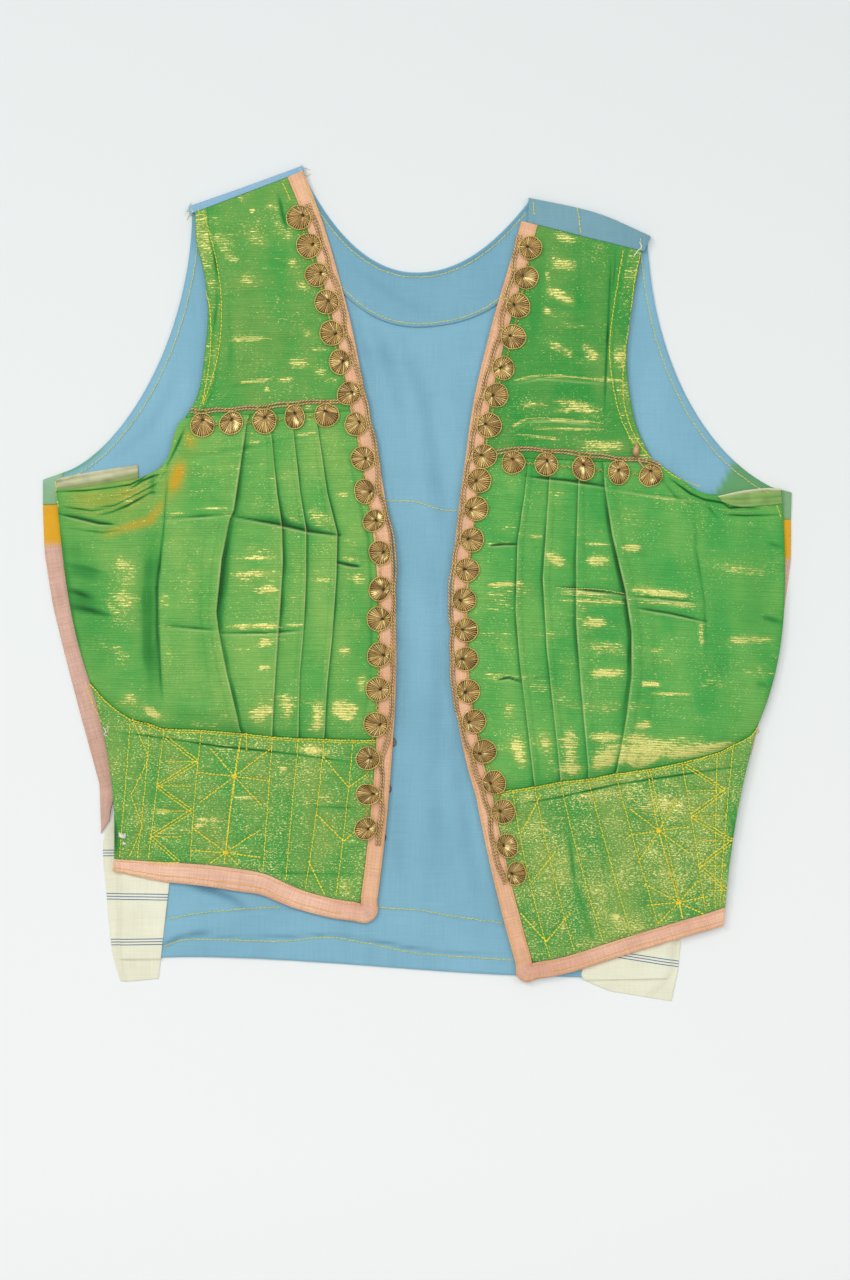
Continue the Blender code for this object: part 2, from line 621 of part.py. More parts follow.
def cord_mesh(maker, name, route):
    """The cord alone, as a closed round tube along its route."""
    shape = bpy.data.curves.new(name + "_route", "CURVE")
    shape.dimensions = "3D"
    shape.bevel_depth = CORD_RADIUS * MM
    shape.bevel_resolution = 1
    shape.use_fill_caps = True
    spline = shape.splines.new("POLY")
    spline.points.add(len(route) - 1)
    for point, (x, y) in zip(spline.points, route):
        height = maker.rest(x, y, 3) + SEAM + CORD_RADIUS
        point.co = (x * MM, y * MM, height * MM, 1)
    tube = bpy.data.objects.new(name + "_route", shape)
    maker.cutters.objects.link(tube)
    bpy.context.view_layer.update()
    graph = bpy.context.evaluated_depsgraph_get()
    data = bpy.data.meshes.new_from_object(tube.evaluated_get(graph))
    bpy.data.objects.remove(tube)
    mesh = bmesh.new()
    mesh.from_mesh(data)
    bmesh.ops.remove_doubles(mesh, verts=mesh.verts, dist=0.01 * MM)
    data.materials.clear()
    faces = maker.faces[:]
    trim = maker.add(name, mesh, "gilt_trim")
    maker.faces = faces
    return trim


def make_front(maker, side, sections, lines, hem_widths, hand, layers):
    """One front: yoke, pleated front, band and the edging round them."""
    yoke = yoke_plan(sections, lines)
    make_yoke(maker, f"{side}_yoke", yoke)
    bust = make_bust(maker, f"{side}_bust", lines)
    band = make_band(maker, f"{side}_band", lines)
    edge = np.concatenate([yoke[-1], bust[-1, 1:], band[-1, 1:]])
    hem = band[:: -len(QUILT_STEPS), -1]
    make_edging(maker, f"{side}_edging", edge, hem, hem_widths, hand, layers)


def main():
    """Makes every piece from the table up, so that each can rest on the ones before it."""
    clear_scene()
    maker = Maker()
    make_back(maker)
    make_facing(maker)
    for index, place in enumerate(LEFT_STUDS, 1):
        make_stud(maker, f"left_stud_{index}", place)
    make_lining(maker, "left_underarm_lining", LEFT_LINING)
    make_lining(maker, "right_underarm_lining", RIGHT_LINING)
    make_tail(maker, "left_tail", LEFT_TAIL, LEFT_TAIL_HEM, 1)
    make_tail(maker, "right_tail", RIGHT_TAIL, RIGHT_TAIL_HEM, -1)
    layers = maker.faces[:]
    make_shoulder(maker, "left_shoulder_strip", LEFT_SHOULDER)
    make_shoulder(maker, "right_shoulder_strip", RIGHT_SHOULDER)
    make_side_strip(maker, "left_underarm_patch", LEFT_SIDE, PATCH_ROWS, -1, "patch_cotton")
    make_side_strip(maker, "right_underarm_patch", RIGHT_SIDE, PATCH_ROWS, 1, "patch_cotton")
    make_side_strip(maker, "left_side_binding", LEFT_SIDE, LEFT_BINDING_ROWS, -1,
                    "pink_binding", LEFT_BINDING_TAPER)
    make_side_strip(maker, "right_side_binding", RIGHT_SIDE, RIGHT_BINDING_ROWS, 1,
                    "pink_binding")
    make_front(maker, "left", LEFT_YOKE, LEFT_LINES, LEFT_HEM_WIDTHS, 1, layers)
    make_front(maker, "right", RIGHT_YOKE, RIGHT_LINES, RIGHT_HEM_WIDTHS, -1, layers)
    make_rosettes(maker, "left_edge_rosettes", LEFT_EDGE_ROSETTES, 1, LEFT_CORD_ENDS)
    make_rosettes(maker, "right_edge_rosettes", RIGHT_EDGE_ROSETTES, -1, RIGHT_CORD_ENDS)
    make_rosettes(maker, "left_row_rosettes", LEFT_ROW_ROSETTES, 1, LEFT_ROW_ENDS)
    make_rosettes(maker, "right_row_rosettes", RIGHT_ROW_ROSETTES, 1, RIGHT_ROW_ENDS)


main()
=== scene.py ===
"""A folk waistcoat laid flat with its fronts open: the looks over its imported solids.

Lengths are in millimetres unless a name says otherwise: X to the viewer's right, Y towards the
neck, Z off the table. Tables that say so are in the photo's pixels, and seen() turns those into
millimetres. Left and right are the viewer's.
"""

import logging
import math
from dataclasses import dataclass, field
from enum import Enum
from functools import cache
from typing import Iterable, NamedTuple, Optional, Sequence

import bpy
import numpy as np
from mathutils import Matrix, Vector
from mathutils.bvhtree import BVHTree


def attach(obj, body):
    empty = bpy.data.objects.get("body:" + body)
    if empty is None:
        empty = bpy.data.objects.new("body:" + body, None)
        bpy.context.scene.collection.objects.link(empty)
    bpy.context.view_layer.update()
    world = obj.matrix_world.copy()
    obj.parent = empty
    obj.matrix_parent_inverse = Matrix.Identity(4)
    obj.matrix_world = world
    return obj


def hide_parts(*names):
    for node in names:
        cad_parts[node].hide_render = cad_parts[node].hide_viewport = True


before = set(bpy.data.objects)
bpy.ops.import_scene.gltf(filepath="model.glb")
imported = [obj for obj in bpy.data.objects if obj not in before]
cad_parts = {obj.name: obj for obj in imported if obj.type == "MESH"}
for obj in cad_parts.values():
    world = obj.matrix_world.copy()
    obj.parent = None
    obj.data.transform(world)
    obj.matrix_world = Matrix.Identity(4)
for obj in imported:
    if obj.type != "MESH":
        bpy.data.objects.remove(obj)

LOG = logging.getLogger("waistcoat")
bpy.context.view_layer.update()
BODY = "root"
Array = np.ndarray
Socket = bpy.types.NodeSocket
Piece = bpy.types.Object
Colour = tuple[float, float, float, float]

MM = 0.001
UP = np.array([0.0, 0.0, 1.0])
PHOTO_SCALE = 0.62
PHOTO_MIDDLE = (416.5, 584.0)
PHOTO_HEIGHT = 1280
PHOTO_CENTRE = (425.0, 640.0)

# Layers, as the solids have them
SEAM = 0.3
BACK_WALL = 1.4
THIN_WALL = 1.0
LAME_WALL = 1.5
ON_BACK = BACK_WALL + SEAM
FRONT_BASE = ON_BACK + THIN_WALL + SEAM
EDGING_TOP = FRONT_BASE + LAME_WALL + 0.4


# Numbers and lines


LATTICE = 64


def seen(places: Sequence) -> Array:
    """Turns rows of x and y in the photo's pixels into millimetres."""
    return (np.asarray(places, float) - PHOTO_MIDDLE) * (PHOTO_SCALE, -PHOTO_SCALE)


def seen_rows(heights: Array) -> Array:
    """Turns heights in millimetres into the photo's rows."""
    return PHOTO_MIDDLE[1] - heights / PHOTO_SCALE


def paint(red: int, green: int, blue: int) -> Colour:
    """Turns a colour of 0 to 255, as a screen shows it, into the shader's linear values."""
    parts = [part / 255 for part in (red, green, blue)]
    return (*(p / 12.92 if p <= 0.04045 else ((p + 0.055) / 1.055) ** 2.4 for p in parts), 1.0)


def ease(value: Array, low: float, high: float) -> Array:
    """Rises smoothly from 0 at low to 1 at high."""
    share = np.clip((np.asarray(value, float) - low) / (high - low), 0, 1)
    return share * share * (3 - 2 * share)


def bell(distance: Array, width: float) -> Array:
    """1 on a line, falling softly to about a third at width."""
    return np.exp(-((distance / width) ** 2))


def mottle(x: Array, y: Array, cell: float, seed: int) -> Array:
    """Soft random unevenness between -1 and 1.

    Args:
        x: Places across.
        y: Places along.
        cell: The size of one soft patch.
        seed: Which of the random fields.

    Returns:
        The field's value at each place.
    """
    lattice = np.random.default_rng(seed).uniform(-1, 1, (LATTICE, LATTICE))
    u, v = (np.asarray(part, float) / cell + 10 * LATTICE for part in (x, y))
    i, j = np.floor(u).astype(int), np.floor(v).astype(int)
    fu, fv = ease(u - i, 0, 1), ease(v - j, 0, 1)
    low, high = (lattice[i % LATTICE, row % LATTICE] * (1 - fu)
                 + lattice[(i + 1) % LATTICE, row % LATTICE] * fu for row in (j, j + 1))
    return low * (1 - fv) + high * fv


def through(rows: Sequence, places: Array) -> Array:
    """Reads a smooth curve that runs through all the rows of a table.

    Args:
        rows: The table, one row for each whole place.
        places: Where to read it, counted in rows.

    Returns:
        One row for each place.
    """
    rows = np.asarray(rows, float)
    padded = np.concatenate([2 * rows[:1] - rows[1:2], rows, 2 * rows[-1:] - rows[-2:-1]])
    places = np.clip(np.asarray(places, float), 0, len(rows) - 1)
    i = np.minimum(places.astype(int), len(rows) - 2)
    t = (places - i).reshape(-1, *[1] * (rows.ndim - 1))
    a, b, c, d = (padded[i + step] for step in range(4))
    return 0.5 * (2 * b + (c - a) * t + (2 * a - 5 * b + 4 * c - d) * t**2
                  + (3 * b - a - 3 * c + d) * t**3)


def across(rows: Sequence, count: int) -> Array:
    """Reads a table at a number of places, evenly from its first row to its last."""
    return through(rows, np.linspace(0, len(rows) - 1, count))


def cubic(handles: Sequence, count: int) -> Array:
    """Points along a cubic curve.

    Args:
        handles: The curve's start, its two handles and its end.
        count: How many points.

    Returns:
        The points.
    """
    start, first, second, end = (np.array(point, float) for point in handles)
    t = np.linspace(0, 1, count)[:, None]
    return (1 - t)**3 * start + 3 * (1 - t)**2 * t * first + 3 * (1 - t) * t**2 * second + t**3 * end


def between(first: Array, second: Array, shares: Array) -> Array:
    """A grid of places from one line to another, with a column for each share of the way."""
    return first + (second - first) * shares[:, None, None]


def lengths(line: Array) -> Array:
    """How far along a line each of its points lies."""
    steps = np.linalg.norm(np.diff(line, axis=0), axis=1)
    return np.concatenate([[0.0], np.cumsum(steps)])


def evenly(line: Array, step: float) -> Array:
    """Places points evenly along a line, its two ends among them.

    Args:
        line: The line's points.
        step: About how far apart the new points are.

    Returns:
        The new points.
    """
    far = lengths(line)
    spots = np.linspace(0, far[-1], max(2, int(round(far[-1] / step)) + 1))
    return np.stack([np.interp(spots, far, part) for part in line.T], axis=1)


def smoothed(line: Array, passes: int) -> Array:
    """Rounds a line's corners, with its two ends held.

    Args:
        line: The line's points, or the values along it.
        passes: How many times each point moves towards its neighbours.

    Returns:
        The rounded line.
    """
    line = line.copy()
    for _ in range(passes):
        line[1:-1] = (line[:-2] + 2 * line[1:-1] + line[2:]) / 4
    return line


def curved(places: Sequence, step: float) -> Array:
    """A smooth line through a few places, with points about step apart."""
    rows = np.asarray(places, float)
    return evenly(rows if len(rows) == 2 else across(rows, 12 * len(rows)), step)


def outward(line: Array, hand: int) -> Array:
    """Finds the way square off a line at each of its points.

    Args:
        line: The line's points.
        hand: 1 for the left of its run and -1 for the right.

    Returns:
        A direction of unit length for each point.
    """
    run = np.gradient(line, axis=0)
    out = np.stack([-run[:, 1], run[:, 0]], axis=1) * hand
    return out / np.linalg.norm(out, axis=1)[:, None]


def off_line(x: Array, y: Array, line: Array) -> tuple[Array, Array]:
    """Measures places against a line.

    Args:
        x: Places across.
        y: Places along.
        line: The line's points.

    Returns:
        How far each place is from the line, and its share of the way along it.
    """
    best, share = np.full(np.shape(x), 1e9), np.zeros(np.shape(x))
    far = lengths(line)
    for (ax, ay), (bx, by), start in zip(line[:-1], line[1:], far[:-1]):
        dx, dy = bx - ax, by - ay
        size = max(dx * dx + dy * dy, 1e-9)
        t = np.clip(((x - ax) * dx + (y - ay) * dy) / size, 0, 1)
        distance = np.hypot(x - ax - t * dx, y - ay - t * dy)
        nearer = distance < best
        best = np.where(nearer, distance, best)
        share = np.where(nearer, (start + t * math.sqrt(size)) / far[-1], share)
    return best, share


class Mark(NamedTuple):
    """A crease, a ridge or a stain along a line of places in the photo's pixels.

    A crease that hangs has a softer painted shade above its line, as many times as wide as hang
    says, and a painted highlight on its lip below.
    """

    line: tuple
    width: float
    rise: float = 0.0
    shade: float = 0.0
    shine: float = 0.0
    stain: float = 0.0
    hang: float = 0.0


def relief(plan: Array, marks: Iterable[Mark]) -> tuple[Array, dict[str, Array]]:
    """Sums what marks do to a piece of cloth.

    Args:
        plan: The cloth's grid in plan.
        marks: Its creases, ridges and stains.

    Returns:
        The rise at each of the grid's points, and the masks of painted shade, shine, stain and
        painted highlight.
    """
    x, y = plan[..., 0], plan[..., 1]
    sums = {key: np.zeros(x.shape) for key in ("rise", "shade", "shine", "stain", "wear")}
    for number, mark in enumerate(marks):
        line = seen(mark.line)
        distance, share = off_line(x, y, line)
        ends = np.sin(np.pi * np.clip(share, 0.02, 0.98)) ** 0.5
        uneven = (1 + 0.35 * mottle(x, y, 11, 900 + number)) * ends
        close = bell(distance, mark.width) * uneven
        for key in ("rise", "shade", "shine", "stain"):
            sums[key] += close * getattr(mark, key)
        if mark.hang:
            order = np.argsort(line[:, 0])
            above = y > np.interp(x, line[order, 0], line[order, 1])
            soft = bell(distance, mark.width * mark.hang) * uneven
            sums["shade"] += np.where(above, 0.5 * mark.shade * soft, 0)
            # The lip below a hanging crease gets a painted highlight.
            lip = bell(distance - 1.5 * mark.width, 0.55) * uneven
            sums["wear"] += np.where(above, 0, 0.5 * lip)
    return sums.pop("rise"), sums


class Side(Enum):
    """The viewer's left or right front."""

    LEFT = "left"
    RIGHT = "right"

    @property
    def hand(self) -> int:
        """1 on the left, whose open edge is to the right of its cloth, and -1 on the right."""
        return 1 if self is Side.LEFT else -1


# Shader graphs


class Graph:
    """Adds nodes to one shader tree and joins them."""

    def __init__(self, tree: bpy.types.NodeTree) -> None:
        """Takes the tree that the nodes go to."""
        self.tree = tree

    def add(self, kind: str, **settings: object) -> bpy.types.Node:
        """Adds a node.

        Args:
            kind: The node's kind.
            settings: Values of the node itself.

        Returns:
            The node.
        """
        node = self.tree.nodes.new(kind)
        for name, value in settings.items():
            setattr(node, name, value)
        return node

    def put(self, node: bpy.types.Node, values: dict) -> bpy.types.Node:
        """Joins a node's inputs to other sockets, or sets their plain values.

        Args:
            node: The node.
            values: A socket or a plain value for each input, by the input's name or number.

        Returns:
            The node.
        """
        for key, value in values.items():
            if isinstance(value, Socket):
                self.tree.links.new(value, node.inputs[key])
            else:
                node.inputs[key].default_value = value
        return node

    def maths(self, operation: str, *values: object, clamp: bool = False) -> Socket:
        """One sum of plain numbers or sockets, which may be held between 0 and 1."""
        node = self.add("ShaderNodeMath", operation=operation, use_clamp=clamp)
        return self.put(node, dict(enumerate(values))).outputs[0]

    def times(self, first: object, second: object, clamp: bool = False) -> Socket:
        """Multiplies two values."""
        return self.maths("MULTIPLY", first, second, clamp=clamp)

    def fit(self, value: object, scale: object, start: object, clamp: bool = False) -> Socket:
        """Scales a value and adds it to a start."""
        return self.maths("MULTIPLY_ADD", value, scale, start, clamp=clamp)

    def about(self, value: object, scale: object, start: object, clamp: bool = False) -> Socket:
        """Scales how far a value is above a half and adds that to a start."""
        return self.fit(self.maths("SUBTRACT", value, 0.5), scale, start, clamp)

    def spread(self, value: object, low: float, high: float, start: float = 0.0,
               end: float = 1.0) -> Socket:
        """Maps low..high to start..end, held at both ends."""
        node = self.add("ShaderNodeMapRange", clamp=True)
        return self.put(node, dict(enumerate((value, low, high, start, end)))).outputs[0]

    def blend(self, share: object, first: object, second: object, how: str = "MIX") -> Socket:
        """Mixes two colours by a share of the second."""
        node = self.add("ShaderNodeMix", data_type="RGBA", blend_type=how)
        return self.put(node, {0: share, 6: first, 7: second}).outputs[2]

    def layered(self, colour: object, *layers: tuple) -> Socket:
        """Lays colours over a first one.

        Args:
            colour: The first colour.
            layers: The share and the colour of each layer.

        Returns:
            The colour that shows.
        """
        for share, layer in layers:
            colour = self.blend(share, colour, layer)
        return colour

    def scaled(self, vector: Socket, scale: tuple, turn: float = 0.0) -> Socket:
        """Stretches a place along each axis.

        Args:
            vector: The place.
            scale: The stretch along each axis.
            turn: A turn about Z before it, in radians.

        Returns:
            The stretched place.
        """
        node = self.add("ShaderNodeMapping", vector_type="POINT")
        values = {"Vector": vector, "Rotation": (0, 0, turn), "Scale": scale}
        return self.put(node, values).outputs[0]

    def noise(self, vector: Socket, scale: object, detail: float = 1.0,
              rough: float = 0.5) -> Socket:
        """Adds noise.

        Args:
            vector: Where it is read.
            scale: Its cells to a metre, one number or one for each axis.
            detail: How many finer layers it has.
            rough: How strong those are.

        Returns:
            Its value.
        """
        if isinstance(scale, tuple):
            vector, scale = self.scaled(vector, scale), 1.0
        values = {"Vector": vector, "Scale": scale, "Detail": detail, "Roughness": rough}
        return self.put(self.add("ShaderNodeTexNoise"), values).outputs["Fac"]

    def axes(self, vector: Socket) -> Sequence[Socket]:
        """A place's X, Y and Z."""
        return self.put(self.add("ShaderNodeSeparateXYZ"), {0: vector}).outputs

    def mask(self, name: str) -> Socket:
        """A value that the mesh's own points carry."""
        return self.add("ShaderNodeAttribute", attribute_name=name).outputs["Fac"]

    def place(self) -> Socket:
        """The place on the object, in metres."""
        return self.add("ShaderNodeTexCoord").outputs["Object"]

    def effect(self, tree: bpy.types.NodeTree, **values: object) -> Sequence[Socket]:
        """Places a shared effect with its own values and hands over its outputs."""
        return self.put(self.add("ShaderNodeGroup", node_tree=tree), values).outputs


class Effect(Graph):
    """A shared effect: a group of nodes that takes a place and a few values."""

    def __init__(self, name: str, inputs: dict[str, float], outputs: Sequence[str]) -> None:
        """Starts the group.

        Args:
            name: Its name.
            inputs: The default of each value that it takes, by name.
            outputs: The names of what it puts out.
        """
        super().__init__(bpy.data.node_groups.new(name, "ShaderNodeTree"))
        socket = self.tree.interface.new_socket
        socket(name="Vector", in_out="INPUT", socket_type="NodeSocketVector")
        for label, value in inputs.items():
            made = socket(name=label, in_out="INPUT", socket_type="NodeSocketFloat")
            made.default_value = value
        for label in outputs:
            socket(name=label, in_out="OUTPUT", socket_type="NodeSocketFloat")
        self.given = self.add("NodeGroupInput").outputs
        self.vector = self.given["Vector"]

    def give(self, **values: Socket) -> bpy.types.NodeTree:
        """Puts the results out and hands over the finished group."""
        self.put(self.add("NodeGroupOutput"), values)
        return self.tree


@cache
def weave() -> bpy.types.NodeTree:
    """Plain weave: threads over and under, each a little different from the next.

    Returns:
        The group.
    """
    group = Effect("plain_weave", {"Threads": 1000.0, "Slub": 0.5}, ("Height", "Tone"))
    turns = [group.times(axis, group.given["Threads"]) for axis in group.axes(group.vector)[:2]]
    waves = [group.maths("SINE", group.times(turn, math.pi)) for turn in turns]
    threads = [group.noise(group.vector, scale) for scale in ((1400, 45, 60), (45, 1400, 60))]
    slub = group.times(group.maths("ADD", *threads), 0.5)
    return group.give(Tone=group.about(slub, group.given["Slub"], 0.5),
                      Height=group.fit(group.times(*waves), 0.35, slub))


@cache
def rib() -> bpy.types.NodeTree:
    """Level ribs of a weft that is thicker than its warp, broken up by thin threads.

    Returns:
        The group.
    """
    group = Effect("weft_rib", {"Pitch": 0.0015}, ("Height", "Tone"))
    sway = group.noise(group.vector, (20, 160, 20), 2.0)
    turn = group.maths("DIVIDE", group.axes(group.vector)[1], group.given["Pitch"])
    wave = group.maths("SINE", group.times(group.fit(sway, 2.2, turn), math.tau))
    strength = group.noise(group.vector, (25, 40, 25))
    fine = group.noise(group.vector, (60, 1500, 60))
    raised = group.fit(group.times(wave, strength), 0.4, fine)
    return group.give(Height=raised, Tone=group.spread(raised, 0.15, 0.85))


@cache
def glint() -> bpy.types.NodeTree:
    """Where the gold weft comes to the face, with painted glints: short level dashes in rows, thick
    in patches.

    Returns:
        The group.
    """
    group = Effect("gold_glint", {"Rib": 0.5, "Shine": 0.0, "Streaks": 0.5, "Specks": 0.2},
                   ("Mask", "Near"))
    ribbed, shine = group.given["Rib"], group.given["Shine"]
    broken = group.noise(group.vector, (900, 1100, 900))
    dash = group.noise(group.vector, (230, 1300, 230), 2.0, 0.55)
    dash = group.about(ribbed, 0.22, group.about(broken, 0.3, dash))
    patch = group.noise(group.vector, (26, 90, 26), 2.0)
    near = group.fit(shine, 0.42, group.fit(group.given["Streaks"], 0.2, patch))
    near = group.spread(near, 0.68, 1.12)
    over = group.maths("ADD", dash, group.fit(near, 0.27, -0.7))
    over = group.fit(group.maths("SUBTRACT", shine, 0.9, clamp=True), 0.08, over)
    dashes = group.times(group.spread(over, 0.0, 0.1), group.spread(near, 0.0, 0.25))
    dashes = group.times(dashes, group.spread(broken, 0.3, 0.7, 0.55))
    dashes = group.times(dashes, group.spread(ribbed, 0.3, 0.6, 0.45))
    level = group.fit(group.noise(group.vector, (50, 70, 50), 2.0), 0.22, -0.78)
    level = group.fit(shine, 0.07, group.fit(group.given["Specks"], 0.16, level))
    fine = group.noise(group.vector, (860, 1750, 860))
    specks = group.spread(group.maths("ADD", fine, level), 0.0, 0.12, 0.0, 0.7)
    return group.give(Mask=group.maths("MAXIMUM", dashes, specks), Near=near)


@cache
def cloud() -> bpy.types.NodeTree:
    """Slow change of tone over a cloth, from fading, handling and soil.

    Returns:
        The group.
    """
    group = Effect("handled_tone", {"Scale": 14.0, "Contrast": 1.0}, ("Tone",))
    tone = group.noise(group.vector, group.given["Scale"], 4.0)
    return group.give(Tone=group.about(tone, group.given["Contrast"], 0.5, clamp=True))


class Surface(Graph):
    """One material's graph, which ends in its shader."""

    def __init__(self, name: str, roughness: float, metallic: float = 0.0, sheen: float = 0.0,
                 specular: float = 0.5) -> None:
        """Starts a material, with the values that are the same all over set on its shader.

        Args:
            name: The material's name.
            roughness: How rough it is.
            metallic: How much of it is metal.
            sheen: How much loose fibre catches the light.
            specular: How strongly it reflects.
        """
        self.made = bpy.data.materials.new(name)
        self.made.use_nodes = True
        super().__init__(self.made.node_tree)
        self.shader = self.tree.nodes["Principled BSDF"]
        self.put(self.shader, {"Roughness": roughness, "Metallic": metallic,
                               "Sheen Weight": sheen, "Specular IOR Level": specular})

    def tone(self, vector: Socket, scale: float, contrast: float) -> Socket:
        """A slow change of tone."""
        return self.effect(cloud(), Vector=vector, Scale=scale, Contrast=contrast)["Tone"]

    def shaded(self, scale: float) -> Socket:
        """The mesh's own shade, scaled and held between 0 and 1."""
        return self.times(self.mask("shade"), scale, clamp=True)

    def done(self, colour: Socket, height: Socket, depth: float) -> bpy.types.Material:
        """Ends the graph in its shader.

        Args:
            colour: The surface's colour.
            height: How much it is raised, from 0 to 1.
            depth: How far 1 raises it, in metres.

        Returns:
            The material.
        """
        bump = self.add("ShaderNodeBump")
        self.put(bump, {"Strength": 1.0, "Distance": depth, "Height": height})
        self.put(self.shader, {"Base Color": colour, "Normal": bump.outputs[0]})
        return self.made


@dataclass(frozen=True)
class Lame:
    """Green lame: a thin gold weft veils the green here and there and glints in dashes."""

    green: Colour = paint(90, 168, 78)
    veil: Colour = paint(128, 180, 88)
    olive: Colour = paint(168, 184, 84)
    # Painted shade: a plainer green for soft shade; deep below is for the darkest shade and the ribs.
    bare: Colour = paint(56, 148, 64)
    deep: Colour = paint(22, 80, 32)
    # The gold weft's colour, painted pale where it glints.
    gold: Colour = paint(255, 238, 146)
    # The colour of the painted highlight on fold crests and crease lips.
    highlight_tint: Colour = paint(188, 206, 132)
    stain: Colour = paint(196, 158, 38)
    turn: float = 0.0
    streaks: float = 0.5
    specks: float = 0.0
    ribbing: float = 0.4

    def material(self, name: str) -> bpy.types.Material:
        """Makes the cloth's material.

        Args:
            name: The material's name.

        Returns:
            The material.
        """
        made = Surface(name, 0.5, specular=0.12)
        place = made.scaled(made.place(), (1, 1, 1), self.turn)
        tone = made.tone(made.scaled(place, (1.6, 0.8, 1)), 26.0, 3.4)
        ribs = made.effect(rib(), Vector=place)
        shine, shade = made.mask("shine"), made.mask("shade")
        gold = made.effect(glint(), Vector=place, Rib=ribs["Tone"], Shine=shine,
                           Streaks=self.streaks, Specks=self.specks)
        colour = made.layered(
            self.green,
            (made.fit(shine, 0.3, tone, clamp=True), self.veil),
            (made.times(gold["Near"], 0.4), self.olive),
            (made.fit(ribs["Tone"], -self.ribbing, 0.67 * self.ribbing, clamp=True), self.deep),
            (made.mask("stain"), self.stain),
            # Gold dashes: the gold weft's colour, painted pale as glints.
            (gold["Mask"], self.gold),
            # Painted shade from the shade mask: first a plainer green, then deep green.
            (made.spread(shade, 0.0, 0.5, 0.0, 0.85), self.bare),
            (made.spread(shade, 0.35, 1.0, 0.0, 0.92), self.deep),
            # Painted highlight on fold crests and crease lips.
            (made.mask("wear"), self.highlight_tint),
        )
        made.put(made.shader, {"Roughness": made.fit(gold["Mask"], -0.2, 0.52),
                               "Metallic": made.fit(gold["Mask"], 0.25, 0.06)})
        return made.done(colour, ribs["Height"], 0.00024)


@dataclass(frozen=True)
class Cotton:
    """Plain woven cotton or a coarser binding weave, with its mesh's own accents."""

    light: Colour
    dark: Colour
    # The colour of painted shade.
    deep: Colour
    accent: Colour = paint(222, 170, 52)
    threads: float = 1500.0
    depth: float = 0.00012
    slub: float = 0.5
    contrast: float = 1.6
    apart: float = 0.0

    def material(self, name: str) -> bpy.types.Material:
        """Makes the cloth's material.

        Args:
            name: The material's name.

        Returns:
            The material.
        """
        made = Surface(name, 0.85, sheen=0.15, specular=0.2)
        cloth = made.add("ShaderNodeUVMap", uv_map="cloth").outputs[0]
        threads = made.effect(weave(), Vector=cloth, Threads=self.threads, Slub=self.slub)
        thread = made.spread(threads["Tone"], 0.25, 0.75, 0.82, 1.1)
        tint = made.put(made.add("ShaderNodeCombineColor"), {0: thread, 1: thread, 2: thread})
        tone = made.tone(made.place(), 16.0, self.contrast)
        colour = made.layered(self.dark, (tone, self.light))
        colour = made.layered(
            made.blend(1.0, colour, tint.outputs[0], "MULTIPLY"),
            (self._stripes(made) if self.apart else made.mask("accent"), self.accent),
            # Painted shade from the mesh's shade mask.
            (made.shaded(0.85), self.deep),
        )
        return made.done(colour, threads["Height"], self.depth)

    def _stripes(self, made: Surface) -> Socket:
        """Draws three fine lines about the middle of each stripe.

        Args:
            made: The graph, whose accent mask is the distance to that middle.

        Returns:
            Where the lines are.
        """
        far = made.mask("accent")
        wave = made.maths("COSINE", made.times(far, math.tau / self.apart))
        near = made.maths("LESS_THAN", made.maths("ABSOLUTE", far), 1.5 * self.apart)
        return made.times(made.spread(wave, 0.3, 0.75), near)


@dataclass(frozen=True)
class Gilt:
    """Gilt metal: pressed foil, wire or cord, brown where it has tarnished.

    The mesh's shade darkens it above 0 and lights it up below.
    """

    bright: Colour
    brown: Colour
    roughness: float
    metallic: float
    dark: Colour = paint(58, 44, 22)
    lit: Colour = paint(255, 240, 170)

    def material(self, name: str) -> bpy.types.Material:
        """Makes the metal's material.

        Args:
            name: The material's name.

        Returns:
            The material.
        """
        made = Surface(name, self.roughness, self.metallic)
        place = made.place()
        fine = made.noise(place, 900.0, 2.0)
        colour = made.layered(self.brown, (made.tone(place, 150.0, 2.4), self.bright),
                              (made.shaded(0.9), self.dark), (made.shaded(-1.0), self.lit))
        made.put(made.shader, {"Roughness": made.fit(fine, 0.3, self.roughness - 0.12)})
        return made.done(colour, fine, 0.00012)


@dataclass(frozen=True)
class Twist:
    """Sewing thread with the slant of its twist."""

    light: Colour
    dark: Colour

    def material(self, name: str) -> bpy.types.Material:
        """Makes the thread's material.

        Args:
            name: The material's name.

        Returns:
            The material.
        """
        made = Surface(name, 0.6, sheen=0.2)
        place = made.place()
        colour = made.layered(self.dark, (made.tone(place, 260.0, 2.5), self.light))
        return made.done(colour, made.noise(place, 2600.0), 0.00008)


@dataclass(frozen=True)
class DarkMetal:
    """Small fasteners of dark, dull metal with brighter rubbed spots."""

    dark: Colour = paint(62, 62, 68)
    rubbed: Colour = paint(120, 116, 108)

    def material(self, name: str) -> bpy.types.Material:
        """Makes the metal's material.

        Args:
            name: The material's name.

        Returns:
            The material.
        """
        made = Surface(name, 0.42, 0.7)
        place = made.place()
        colour = made.layered(self.dark, (made.tone(place, 420.0, 2.8), self.rubbed))
        return made.done(colour, made.noise(place, 1500.0, 2.0), 0.00006)


